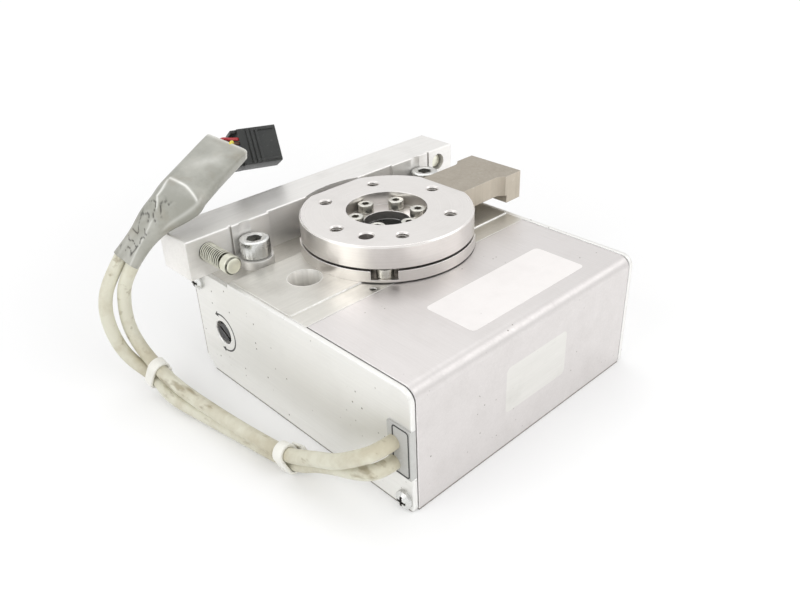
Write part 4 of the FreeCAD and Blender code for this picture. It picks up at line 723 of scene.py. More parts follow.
def raise_faces(shape: BMesh, faces: list[BMFace], height: float) -> None:
    """Give faces a thickness along Z.

    Args:
        shape: The shape.
        faces: Its flat faces.
        height: The thickness.
    """
    risen = bmesh.ops.extrude_face_region(shape, geom=faces)["geom"]
    verts = [part for part in risen if isinstance(part, BMVert)]
    bmesh.ops.translate(shape, vec=spot(0, 0, height), verts=verts)


def sink_face(shape: BMesh, face: BMFace, wall: float, way: Triple) -> None:
    """Sink a face's middle and leave a wall around it.

    Args:
        shape: The shape.
        face: The face.
        wall: Thickness of the wall.
        way: How far the middle moves.
    """
    bmesh.ops.inset_region(shape, faces=[face], thickness=wall * MM, use_even_offset=True)
    sunk = bmesh.ops.extrude_discrete_faces(shape, faces=[face])["faces"][0]
    bmesh.ops.translate(shape, vec=spot(*way), verts=sunk.verts)


def circle(shape: BMesh, segments: int, radius: float, height: float = 0.0) -> tuple[list[BMVert], list[BMEdge]]:
    """Add an open circle about Z to a shape.

    Args:
        shape: The shape.
        segments: Edges around.
        radius: Its radius.
        height: Its height.

    Returns:
        The circle's points and edges.
    """
    verts = bmesh.ops.create_circle(shape, segments=segments, radius=radius * MM, matrix=shift(0, 0, height))["verts"]
    return verts, list(dict.fromkeys(edge for vert in verts for edge in vert.link_edges))


def rounded_sheet(width: float, height: float, corner: float, segments: int) -> BMesh:
    """A flat sheet about the origin with round corners.

    Args:
        width: Its side along X, in metres.
        height: Its side along Y, in metres.
        corner: Width of the corners' rounding.
        segments: Edges in each corner.

    Returns:
        The sheet, with one face.
    """
    shape = bmesh.new()
    bmesh.ops.create_grid(shape, x_segments=1, y_segments=1, size=0.5)
    bmesh.ops.scale(shape, vec=(width, height, 1.0), verts=shape.verts)
    bevel(shape, shape.verts[:], corner, segments, "VERTICES")
    return shape


def lathe(outline: Outline, steps: int) -> BMesh:
    """Turn an outline about Z.

    Args:
        outline: Radius and height of each corner.
        steps: Faces around.

    Returns:
        The turned shape.
    """
    shape = bmesh.new()
    corners = [shape.verts.new((radius * MM, 0.0, height * MM)) for radius, height in outline]
    runs = [shape.edges.new(pair) for pair in zip(corners, corners[1:])]
    bmesh.ops.spin(
        shape, geom=corners + runs, cent=(0, 0, 0), axis=(0, 0, 1), dvec=(0, 0, 0), angle=math.tau, steps=steps,
        use_merge=True,
    )
    bmesh.ops.remove_doubles(shape, verts=shape.verts, dist=1e-7)
    return shape


def block(size: Triple, edge: float) -> BMesh:
    """A block about the origin with rounded edges.

    Args:
        size: Its three sides.
        edge: Width of the rounding.

    Returns:
        The block.
    """
    shape = bmesh.new()
    bmesh.ops.create_cube(shape, size=1.0)
    bmesh.ops.scale(shape, vec=spot(*size), verts=shape.verts)
    bevel(shape, shape.edges[:], edge, 2)
    return shape


def ridge(section: Outline, pitch: float, turns: float, steps: int = 24) -> BMesh:
    """A screw thread's ridge: a closed section wound about Z.

    Args:
        section: Radius and height of the section's corners.
        pitch: Rise of one turn.
        turns: Number of turns.
        steps: Faces in one turn.

    Returns:
        The wound ridge, with closed ends.
    """
    shape = bmesh.new()
    corners = [shape.verts.new((radius * MM, 0.0, height * MM)) for radius, height in section]
    first = [shape.edges.new(pair) for pair in zip(corners, corners[1:] + corners[:1])]
    wound = bmesh.ops.spin(
        shape, geom=corners + first, cent=(0, 0, 0), axis=(0, 0, 1), dvec=(0, 0, pitch * MM / steps),
        angle=math.tau * turns, steps=round(steps * turns), use_merge=False,
    )
    last = [part for part in wound["geom_last"] if isinstance(part, BMEdge)]
    for ring in (first, last):
        bmesh.ops.edgeloop_fill(shape, edges=ring)
    return shape


def thread_section(foot: float, crest: float, pitch: float, half: float) -> Outline:
    """The corners of a thread's ridge, with half the width of its foot as a share of the pitch."""
    land = 0.07 * pitch
    return (foot, -half * pitch), (crest, -land), (crest, land), (foot, half * pitch)


def sink_hexagon(shape: BMesh, flats: float, top: float, depth: float) -> None:
    """Close an open round top with a hexagon socket.

    Args:
        shape: A turned shape whose only open edge is its top.
        flats: Width across the socket's flats.
        top: Height of the open edge.
        depth: Depth of the socket.
    """
    rim = [edge for edge in shape.edges if edge.is_boundary]
    mouth = circle(shape, 6, flats / math.sqrt(3), top)[1]
    bmesh.ops.bridge_loops(shape, edges=rim + mouth)
    sunk = bmesh.ops.extrude_edge_only(shape, edges=mouth)["geom"]
    lowered = [part for part in sunk if isinstance(part, BMVert)]
    bmesh.ops.translate(shape, vec=(0, 0, -depth * MM), verts=lowered)
    floor = [part for part in sunk if isinstance(part, BMEdge) and set(part.verts) <= set(lowered)]
    bmesh.ops.edgeloop_fill(shape, edges=floor)


def cap_screw(thread: float, length: float) -> BMesh:
    """A socket head cap screw that stands on Z = 0, with a knurled head.

    Args:
        thread: Diameter of the thread.
        length: Length under the head.

    Returns:
        The screw.
    """
    head, shank, chamfer = (thread * 1.5 + 1.0) / 2, thread / 2, thread * 0.08
    flats = thread * 0.75
    outline = (
        (0.0, -length), (shank * 0.85, -length), (shank, -length + shank * 0.3), (shank, 0.0),
        (head - chamfer, 0.0), (head, chamfer), (head, thread - 1.6 * chamfer),
        (head - 0.5 * chamfer, thread - 0.5 * chamfer), (head - 1.6 * chamfer, thread), (flats * 0.68, thread),
        (flats * 0.62, thread - 0.25 * chamfer),
    )
    steps = 56
    shape = lathe(outline, steps)
    for vert in shape.verts:
        knurled = chamfer * 0.9 < vert.co.z / MM < thread - 1.4 * chamfer and vert.co.xy.length > 0.9 * head * MM
        turn = round(math.atan2(vert.co.y, vert.co.x) / math.tau * steps)
        if knurled and turn % 2:
            vert.co.xy *= 0.972
    sink_hexagon(shape, flats, thread - 0.25 * chamfer, thread * 0.5)
    return shape


def add_object(name: str, data: Any) -> Object:
    """Put an object in the scene.

    Args:
        name: Its name.
        data: Its mesh, curve, camera or light.

    Returns:
        The object.
    """
    made = bpy.data.objects.new(name, data)
    bpy.context.scene.collection.objects.link(made)
    return made


def make_piece(
    name: str, shape: BMesh, material: Material, body: str,
    stands_for: Sequence[str] = (), crease: float = 32.0, mend: bool = True,
) -> Object:
    """Make an object of a finished shape and let it ride on its body.

    Args:
        name: Name of the piece.
        shape: The shape, which is freed.
        material: Its material.
        body: The body that it moves with.
        stands_for: The solids that it replaces.
        crease: Edges sharper than this, in degrees, stay sharp.
        mend: Whether doubles are merged and normals turned outwards.

    Returns:
        The piece.
    """
    if mend:
        bmesh.ops.remove_doubles(shape, verts=shape.verts, dist=1e-7)
        bmesh.ops.recalc_face_normals(shape, faces=shape.faces)
    for face in shape.faces:
        face.smooth = True
    for edge in shape.edges:
        edge.smooth = len(edge.link_faces) == 2 and edge.calc_face_angle(0.0) < math.radians(crease)
    mesh = bpy.data.meshes.new(name)
    shape.to_mesh(mesh)
    shape.free()
    mesh.materials.append(material)
    return set_piece(add_object(name, mesh), body, stands_for)


def set_piece(piece: Object, body: str, stands_for: Sequence[str] = ()) -> Object:
    """Put a piece on its body and hide the solids that it replaces.

    Args:
        piece: The object.
        body: The body that it moves with.
        stands_for: The solids that it replaces.

    Returns:
        The same piece.
    """
    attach(piece, body)
    if stands_for:
        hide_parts(*stands_for)
    log.info("%s rides on %s", piece.name, body)
    return piece


def dress(finish: Finish, *nodes: str) -> None:
    """Give a finish to solids that stay as they are.

    Args:
        finish: The finish.
        nodes: Names of the solids.
    """
    for node in nodes:
        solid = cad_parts[node]
        solid.data.materials.clear()
        solid.data.materials.append(finish.material())
        log.info("%s is finished as %s", node, finish.name)


# Sub-assemblies


class SubAssembly(ABC):
    """A group of pieces that are built and dressed together."""

    @abstractmethod
    def build(self) -> None:
        """Build the pieces and dress the solids."""


@dataclass
class Studio(SubAssembly):
    """Camera, floor and light."""

    lens: float = 35.43
    stand: Triple = (-207.08, -230.63, 204.73)
    forward: Triple = (0.58397, 0.63304, -0.50816)
    right: Triple = (0.721, -0.692, -0.034)
    floor_half: float = 4000.0
    floor_colour: float = 0.8
    floor_lift: Pair = (0.16, 0.33)
    floor_reach: Pair = (200.0, 650.0)
    floor_gloss: float = 0.36
    ambient: float = 0.72
    sun_strength: float = 0.42
    sun_angle: float = 46.0
    sun_from: Triple = (0.30, 0.45, 1.0)
    panels: tuple[tuple[Triple, float, float, bool], ...] = (
        ((-700.0, 120.0, 420.0), 600.0, 1.8, True),
        ((640.0, -560.0, 700.0), 600.0, 1.2, True),
        ((60.0, -720.0, 260.0), 500.0, 2.0, False),
    )

    def build(self) -> None:
        """Set the camera first, then the floor and the light."""
        self.camera()
        self.floor()
        self.world()
        self.lamps()

    def camera(self) -> None:
        """A camera where the photographer stood."""
        data = bpy.data.cameras.new("camera")
        data.lens = self.lens
        data.sensor_width = 36.0
        data.clip_start, data.clip_end = 0.01, 50.0
        camera = add_object("camera", data)
        back = -Vector(self.forward).normalized()
        across = square_to(Vector(self.right), back)
        camera.matrix_world = basis(across, back.cross(across), back, spot(*self.stand))
        bpy.context.scene.camera = camera

    def floor(self) -> None:
        """A plain white floor, which stays white for the camera and keeps the shadow."""
        shape = bmesh.new()
        bmesh.ops.create_grid(shape, x_segments=2, y_segments=2, size=self.floor_half * MM)
        mesh = bpy.data.meshes.new("floor")
        shape.to_mesh(mesh)
        shape.free()
        floor = add_object("floor", mesh)
        made, board = blank_material("white_floor")
        matt = board.add("ShaderNodeBsdfDiffuse", {"Color": (self.floor_colour,) * 3})
        path = board.add("ShaderNodeLightPath").outputs
        near, far = (reach * MM for reach in self.floor_reach)
        lift = board.remap(board.length(board.place()), near, far, *self.floor_lift)
        lift = board.times(path["Is Camera Ray"], lift)
        lift = board.math("ADD", lift, board.times(path["Is Glossy Ray"], self.floor_gloss))
        glow = board.add("ShaderNodeEmission", {"Strength": lift})
        both = board.add("ShaderNodeAddShader", {0: matt.outputs[0], 1: glow.outputs[0]})
        board.add("ShaderNodeOutputMaterial", {"Surface": both.outputs[0]})
        mesh.materials.append(made)

    def world(self) -> None:
        """White all round for the camera and in reflections, and an even soft light."""
        world = bpy.data.worlds.new("studio")
        bpy.context.scene.world = world
        world.use_nodes = True
        world.node_tree.nodes.clear()
        board = NodeBoard(world.node_tree)
        path = board.add("ShaderNodeLightPath").outputs
        seen = board.most(path["Is Camera Ray"], path["Is Glossy Ray"])
        seen = board.most(seen, path["Is Transmission Ray"])
        soft, white = (
            board.add("ShaderNodeBackground", {"Color": (1.0, 1.0, 1.0), "Strength": strength}).outputs[0]
            for strength in (self.ambient, 1.0)
        )
        both = board.add("ShaderNodeMixShader", {0: seen, 1: soft, 2: white})
        board.add("ShaderNodeOutputWorld", {"Surface": both.outputs[0]})

    def lamps(self) -> None:
        """A wide soft lamp overhead, and panels at the left, at the front right and in front."""
        sun = bpy.data.lights.new("overhead", "SUN")
        sun.energy, sun.angle = self.sun_strength, math.radians(self.sun_angle)
        lights = [(sun, Vector(self.sun_from), True)]
        for place, size, power, shines in self.panels:
            panel = bpy.data.lights.new("panel", "AREA")
            panel.energy, panel.size = power, size * MM
            lights.append((panel, spot(*place), shines))
        for light, place, shines in lights:
            lamp = add_object(light.name, light)
            lamp.location = place
            lamp.visible_glossy = shines
            lamp.rotation_euler = place.to_track_quat("Z", "Y").to_euler()


@dataclass
class CableLoom(SubAssembly):
    """Both cables with their ties, sleeve, wires and connector."""

    diameter: float = 5.7
    upper_length: float = 192.3
    lower_length: float = 202.3
    upper_route: tuple[Triple, ...] = (
        (-71.3, -77.6, 28.8), (-79.6, -77.6, 28.8), (-84.9, -72.6, 26.6), (-86.6, -64.2, 21.0),
        (-87.0, -54.0, 16.3), (-88.4, -45.0, 12.4), (-89.4, -37.4, 9.9), (-91.8, -13.0, 8.7), (-94.2, 13.0, 8.8),
        (-95.7, 31.2, 10.1), (-95.9, 43.4, 12.3), (-97.0, 54.6, 18.4), (-98.2, 59.4, 28.4), (-97.4, 59.6, 40.4),
        (-95.4, 57.6, 50.6), (-89.3, 55.7, 58.9),
    )
    lower_route: tuple[Triple, ...] = (
        (-71.3, -77.6, 19.8), (-79.0, -77.6, 19.8), (-82.5, -71.4, 18.1), (-83.2, -59.6, 13.5),
        (-83.8, -49.0, 8.5), (-85.6, -43.6, 5.8), (-87.3, -37.6, 4.3), (-90.2, -13.2, 2.95), (-94.2, 13.0, 2.95),
        (-98.5, 31.5, 4.7), (-96.4, 45.6, 6.6), (-102.6, 57.0, 14.6), (-105.6, 60.6, 28.0),
        (-104.8, 62.6, 40.4), (-99.6, 62.6, 51.0), (-91.0, 60.7, 62.1),
    )
    tie_lines: tuple[float, ...] = (-37.5, 44.5)
    tie_wall: float = 1.1
    tie_width: float = 4.6
    tie_slack: float = 0.15
    tie_head: Triple = (5.0, 3.5, 5.0)
    tie_slot: Pair = (0.7, 1.2)
    tie_tail: Triple = (2.4, 1.1, 3.91)
    tie_tail_at: Pair = (-0.8, -0.3)
    sleeve_across: Triple = (0.48, -0.83, -0.28)
    sleeve_stations: tuple[tuple[Triple, float, float], ...] = (
        ((-92.9, 58.7, 57.7), 6.1, 3.8),
        ((-84.9, 56.4, 66.1), 5.9, 3.8),
        ((-79.2, 52.5, 73.4), 7.5, 4.2),
        ((-68.8, 52.8, 77.4), 10.6, 4.6),
        ((-63.2, 56.0, 78.9), 10.5, 4.8),
        ((-48.2, 62.3, 83.2), 10.2, 4.5),
        ((-32.2, 68.7, 87.8), 10.2, 3.1),
    )
    sleeve_wall: float = 0.8
    plug_centre: Triple = (-15.9, 72.5, 81.8)
    plug_along: Triple = (0.963, -0.264, -0.055)
    plug_up: Triple = (0.167, 0.519, 0.838)
    plug_size: Triple = (11.0, 17.0, 21.0)
    plug_wall: float = 1.4
    plug_mouth: float = 9.0
    plug_back: float = 3.0
    tower: Triple = (2.6, 2.6, 7.0)
    tower_pitch: Pair = (3.5, 3.4)
    rib_shares: tuple[float, ...] = (0.35, 0.45, 0.55)
    wire_diameter: float = 1.6
    wire_spread: float = 8.0
    wire_sink: float = 3.0
    wire_row: float = -4.0
    wire_lift: float = 1.2
    wire_colours: tuple[tuple[str, Triple, float], ...] = (
        ("red", (0.45, 0.03, 0.04), 0.5),
        ("brown", (0.10, 0.04, 0.02), 0.2),
        ("blue", (0.03, 0.06, 0.28), 0.4),
        ("yellow", (0.72, 0.62, 0.08), 2.6),
        ("black", (0.02, 0.02, 0.022), 0.0),
    )

    def build(self) -> None:
        """Lay the cables first, then what is on them."""
        jacket = JacketFinish().material()
        routes = {"upper": self.upper_route, "lower": self.lower_route}
        upper, lower = (self.lay(f"cable_{end}", route, self.diameter, jacket) for end, route in routes.items())
        set_piece(upper, "base", ("upper_cable",))
        set_piece(lower, "base", ("lower_cable",))
        ties = self.ties(upper, lower)
        sleeve = self.sleeve()
        plug = self.plug()
        wires = self.wires()

    @staticmethod
    def lay(name: str, route: Sequence[Triple], diameter: float, material: Material) -> Object:
        """A smooth round cord through the bends of a route.

        Args:
            name: Name of the piece.
            route: Control points of its line.
            diameter: Outside diameter.
            material: Its material.

        Returns:
            The curve.
        """
        curve = bpy.data.curves.new(name, "CURVE")
        curve.dimensions = "3D"
        line = curve.splines.new("NURBS")
        line.points.add(len(route) - 1)
        for knot, place in zip(line.points, route):
            knot.co = (*spot(*place), 1.0)
        line.order_u = 3
        line.use_endpoint_u = True
        line.resolution_u = 10
        curve.bevel_depth = diameter / 2 * MM
        curve.bevel_resolution = 6
        curve.use_fill_caps = True
        curve.materials.append(material)
        return add_object(name, curve)

    @staticmethod
    def line_of(cord: Object) -> list[Vector]:
        """Points along a cord's own line.

        Args:
            cord: The curve.

        Returns:
            Its line's points, in metres.
        """
        bare = cord.data.copy()
        bare.bevel_depth = 0.0
        holder = bpy.data.objects.new("bare_line", bare)
        mesh = bpy.data.meshes.new_from_object(holder)
        points = [vert.co.copy() for vert in mesh.vertices]
        bpy.data.objects.remove(holder)
        bpy.data.meshes.remove(mesh)
        bpy.data.curves.remove(bare)
        return points

    def ties(self, upper: Object, lower: Object) -> Object:
        """Straps that hold the cables side by side.

        Args:
            upper: The cable from the upper hole.
            lower: The cable from the lower hole.

        Returns:
            The straps as one piece.
        """
        lines = [self.line_of(upper), self.line_of(lower)]
        both = bmesh.new()
        for tie_line in self.tie_lines:
            found = []
            for line in lines:
                index = min(range(1, len(line) - 1), key=lambda at: abs(line[at].y - tie_line * MM))
                found.append((line[index], (line[index + 1] - line[index - 1]).normalized()))
            (first, along), (second, other) = found
            along = (along + other).normalized()
            across = second - first
            across -= along * across.dot(along)
            half = across.length / 2 / MM
            across.normalize()
            place = basis(across, along.cross(across), along, (first + second) / 2)
            merge(both, self.strap(half), place)
            behind = -(self.diameter / 2 + self.tie_slack + self.tie_wall / 2 + self.tie_head[1] / 2)
            merge(both, self.lock(), place @ shift(half, behind, 0))
            x, y = self.tie_tail_at
            tail = shift(half - self.tie_head[0] / 2 + x, behind + y, 0)
            merge(both, block(self.tie_tail, 0.3), place @ tail)
        return make_piece(
            "tie_straps", both, WHITE_PLASTIC.material(), "base", ("cable_ties",), mend=False
        )

    def lock(self) -> BMesh:
        """A tie's square head, with the slot that the strap runs through.

        Returns:
            The head about the origin.
        """
        shape = block(self.tie_head, 0.5)
        face = min(shape.faces, key=lambda one: one.normal.x * one.calc_area())
        wall, depth = self.tie_slot
        sink_face(shape, face, wall, (depth, 0, 0))
        return shape

    def strap(self, half: float) -> BMesh:
        """A flat band around two cables that lie side by side.

        Args:
            half: Half the distance between the cables.

        Returns:
            The band about the origin, around Z.
        """
        shape = bmesh.new()
        rings = []
        inner = self.diameter / 2 + self.tie_slack
        for radius in (inner, inner + self.tie_wall):
            verts, edges = circle(shape, 40, radius, -self.tie_width / 2)
            for vert in verts:
                if abs(vert.co.x) > 1e-6:
                    vert.co.x += math.copysign(half * MM, vert.co.x)
            rings += edges
        raise_faces(shape, bmesh.ops.bridge_loops(shape, edges=rings)["faces"], self.tie_width)
        bevel(shape, [edge for edge in shape.edges if edge.calc_face_angle(0.0) > 1.0], 0.2, 2)
        return shape

    def station(self, share: float) -> tuple[Vector, float, float]:
        """Where the sleeve's middle line is and how wide and thick it is there.

        Args:
            share: From 0 at the cables to 1 at the open mouth.

        Returns:
            The centre, half the width and half the thickness, in metres.
        """
        rows = [(*centre, width, thick) for centre, width, thick in self.sleeve_stations]
        steps = [math.dist(one[:3], other[:3]) for one, other in zip(rows, rows[1:])]
        knots = [sum(steps[:count]) for count in range(len(rows))]
        at = share * knots[-1]
        index = max(count for count in range(len(steps)) if knots[count] <= at)
        step, part = steps[index], (at - knots[index]) / steps[index]

        def slope(count: int, item: int) -> float:
            """How fast a measure changes at a station."""
            low, high = max(count - 1, 0), min(count + 1, len(steps))
            return (rows[high][item] - rows[low][item]) / (knots[high] - knots[low])

        row = []
        for item in range(5):
            start, end = rows[index][item], rows[index + 1][item]
            ease = part * part * (3 - 2 * part)
            pull = part * (1 - part) * ((1 - part) * slope(index, item) - part * slope(index + 1, item))
            row.append(start + (end - start) * ease + step * pull)
        return spot(*row[:3]), row[3] * MM, row[4] * MM

    @staticmethod
    def folds(share: float, side: float, top: float) -> Pair:
        """How the sleeve's skin lies at a point: raised folds and pinched wrinkles.

        Args:
            share: From 0 at the cables to 1 at the mouth.
            side: From -1 to 1 across the width.
            top: From -1 on the back face to 1 on the front face.

        Returns:
            Strength of a raised fold and of a pinched wrinkle, each from 0 to 1.
        """
        def line(distance: float, width: float) -> float:
            """How near a point is to a line, from 0 to 1."""
            return math.exp(-((distance / width) ** 2))

        front = max(0.0, top)
        cross = line(share - 0.533 + 0.03 * side + 0.05 * max(0.0, side - 0.1), 0.009)
        cross *= line(max(0.0, abs(side - 0.05) - 0.72), 0.05)
        bend = 0.7 * (0.53 - share) + 8.0 * max(0.0, 0.385 - share)
        length = line(side + 0.7 - bend, 0.05) * line(max(0.0, abs(share - 0.44) - 0.095), 0.012)
        seam = line(side - 0.65 + 2.0 * share, 0.06) * line(max(0.0, share - 0.26), 0.03)
        rim = line(side - 0.86, 0.06) * line(max(0.0, abs(share - 0.4) - 0.09), 0.03)
        swell = line(share - 0.76 - 0.05 * math.sin(3.0 * side), 0.045) * line(side - 0.1, 0.45) * 0.3
        raised = front * max(cross, length, seam * 0.45, rim * 0.45, swell)
        wrinkle = noise.noise(Vector((share * 17.0 + 2.0, side * 2.1 + share * 9.0, 4.0)))
        pinch_and_shade = max(0.0, min(1.0, 1.6 - abs(wrinkle) / 0.05)) * line(max(0.0, abs(share - 0.22) - 0.16), 0.02)
        pinch_and_shade *= line(max(0.0, abs(side + 0.2) - 0.5), 0.08)
        return raised, front * pinch_and_shade

    def sleeve(self) -> Object:
        """The grey sleeve: round two cables at its foot, flat and open at its mouth.

        Returns:
            The sleeve.
        """
        around, rings = 88, 130
        shape = bmesh.new()
        # Layers that keep the painted highlight on folds and the painted shade in wrinkles.
        fold_highlight_layer = shape.verts.layers.float.new("fold_highlight")
        pinch_shade_layer = shape.verts.layers.float.new("pinch_and_shade")
        ring, edges = circle(shape, around, 1.0 / MM)
        turns = [math.atan2(vert.co.y, vert.co.x) for vert in ring]
        path = [(0.05, 0.3 * MM), (0.0, 0.3 * MM)] + [(at / rings, 0.0) for at in range(rings + 1)]
        inside = [(1.0 - depth, self.sleeve_wall * MM) for depth in (0.0, 0.05, 0.12, 0.18)]
        for index, (share, wall) in enumerate(path + inside):
            if index:
                grown = bmesh.ops.extrude_edge_only(shape, edges=edges)["geom"]
                fresh = {part for part in grown if isinstance(part, BMVert)}
                steps = ({edge.other_vert(vert) for edge in vert.link_edges} & fresh for vert in ring)
                ring = [step.pop() for step in steps]
                edges = [part for part in grown if isinstance(part, BMEdge) and fresh >= set(part.verts)]
            self.shape_ring(ring, turns, share, wall, fold_highlight_layer, pinch_shade_layer)
        bmesh.ops.edgeloop_fill(shape, edges=edges)
        foot = [edge for edge in shape.edges if edge.is_boundary]
        bmesh.ops.edgeloop_fill(shape, edges=foot)
        return make_piece(
            "shrunk_sleeve", shape, SleeveFinish().material(), "base", ("cable_sleeve",), 50.0
        )

    def shape_ring(
        self, ring: list[BMVert], turns: list[float], share: float, wall: float, fold_highlight_layer: Any,
        pinch_shade_layer: Any,
    ) -> None:
        """Lay one ring of the sleeve in its place.

        Args:
            ring: The ring's points in order.
            turns: Angle of each point.
            share: From 0 at the cables to 1 at the mouth.
            wall: How far inside the skin the ring lies.
            fold_highlight_layer: Layer that keeps the painted highlight on the raised folds and the mouth's lip.
            pinch_shade_layer: Layer that keeps the painted shade in the wrinkles.
        """
        centre, width, thick = self.station(share)
        before, after = self.station(max(share - 0.08, 0.0))[0], self.station(min(share + 0.08, 1.0))[0]
        along = (after - before).normalized()
        across = square_to(Vector(self.sleeve_across), along)
        upward = along.cross(across)
        if upward.z < 0:
            upward = -upward
        boxy = 2.0 / (2.0 + 1.0 * share + 4.0 * share**6)
        waist = 0.28 * math.exp(-((share / 0.3) ** 2))
        for vert, turn in zip(ring, turns):
            side = math.copysign(abs(math.cos(turn)) ** boxy, math.cos(turn))
            top = math.copysign(abs(math.sin(turn)) ** boxy, math.sin(turn))
            raised, pinch_and_shade = self.folds(share, side, top)
            lie = top * (thick - wall) * (1.0 - waist * math.exp(-((side / 0.3) ** 2)))
            lie += math.copysign(1.0, top) * (0.22 * raised - 0.3 * pinch_and_shade) * MM
            uneven = noise.noise(Vector((share * 7.0, side * 1.7, top))) * 0.25 * MM
            vert.co = centre + across * side * (width - wall) + upward * (lie + uneven * top)
            # Painted highlight on the raised folds and along the mouth's lip.
            vert[fold_highlight_layer] = min(1.0, raised + 0.6 * max(0.0, share - 0.975) / 0.025)
            # Painted shade in the pinched wrinkles.
            vert[pinch_shade_layer] = pinch_and_shade * 0.95

    def plug_frame(self) -> Matrix:
        """The connector's own frame.

        Returns:
            Z along it, Y up across its broad face.
        """
        along = Vector(self.plug_along).normalized()
        up = square_to(Vector(self.plug_up), along)
        return basis(up.cross(along), up, along, spot(*self.plug_centre))

    def plug(self) -> Object:
        """The connector: a ribbed shell with a deep mouth, contact towers and a latch.

        Returns:
            The connector.
        """
        thick, height, length = self.plug_size
        back, wall = self.plug_back, self.plug_wall
        whole = bmesh.new()
        shell = bmesh.new()
        bmesh.ops.create_cube(shell, size=1.0)
        bmesh.ops.scale(shell, vec=spot(thick, height, length - back), verts=shell.verts)
        bmesh.ops.translate(shell, vec=spot(0, 0, back / 2), verts=shell.verts)
        long_edges = [edge for edge in shell.edges if abs(edge.verts[0].co.z - edge.verts[1].co.z) > MM]
        bevel(shell, long_edges, 0.7, 3)
        sink_face(shell, max(shell.faces, key=lambda one: one.normal.z), wall, (0, 0, -self.plug_mouth))
        merge(whole, shell, Matrix())
        rear, floor, rib = (back - length) / 2 + 0.2, length / 2 - self.plug_mouth, wall / 2
        blocks = [((wall, height, back + 0.4), 0.25, ((thick - wall) / 2, 0, rear))]
        for side in (-1, 1):
            blocks.append(((thick - 1.5, wall, back + 0.4), 0.25, (0.75, side * (height - wall) / 2, rear)))
        for row in (-1, 1):
            for column in range(4):
                place = (row * self.tower_pitch[0] / 2, (column - 1.5) * self.tower_pitch[1], floor + 3.0)
                blocks.append((self.tower, 0.25, place))
        for share in self.rib_shares:
            place = (-thick / 2 - rib * 0.25, 0, (share - 0.5) * length)
            blocks.append(((rib * 1.4, height * 0.96, wall * 0.8), 0.2, place))
        for y in (-0.42, 0.42):
            blocks.append(((rib * 1.2, 1.0, length * 0.5), 0.2, (-thick / 2 - rib * 0.2, y * height, length * 0.2)))
        blocks.append(((wall, height / 3, length * 0.6), 0.35, (thick / 2 + wall * 0.45, 0, -length * 0.1)))
        for size, edge, place in blocks:
            merge(whole, block(size, edge), shift(*place))
        whole.transform(self.plug_frame())
        return make_piece(
            "cable_connector", whole, BLACK_PLASTIC.material(), "base", ("connector",), mend=False
        )

    def wires(self) -> list[Object]:
        """Coloured wires from the sleeve's mouth into the connector's back.

        Returns:
            One piece for each wire.
        """
        before, end = (spot(*self.sleeve_stations[at][0]) for at in (-2, -1))
        out = (end - before).normalized()
        spread = square_to(Vector(self.sleeve_across), out)
        lift = out.cross(spread)
        lift *= math.copysign(self.wire_lift * MM, lift.z)
        frame_of_plug, sink = self.plug_frame(), self.wire_sink
        made = []
        for index, (label, colour, bulge) in enumerate(self.wire_colours):
            share = index / (len(self.wire_colours) - 1) - 0.5
            start = end + lift + (spread * share * self.wire_spread - out * sink) * MM
            x, y, rear = self.wire_row, -share * self.wire_spread, -self.plug_size[2] / 2
            mouth = frame_of_plug @ spot(x, y, rear - sink / 2)
            finish = frame_of_plug @ spot(x, y, rear + self.plug_back + 1.0)
            points = [start, start + out * 1.5 * sink * MM + lift * bulge, mouth + lift * bulge, finish]
            skin = Finish(
                f"wire_{label}", colour, metallic=0.0, roughness=0.4, grain_scale=1800.0, tone=0.25, wear_and_highlight=0.05,
                edge_radius=0.1, clouds=0.15, specks=0.2,
            )
            route = [tuple(place / MM) for place in points]
            wire = self.lay(f"lead_wire_{label}", route, self.wire_diameter, skin.material())
            made.append(set_piece(wire, "base", ("lead_wires",)))
        return made


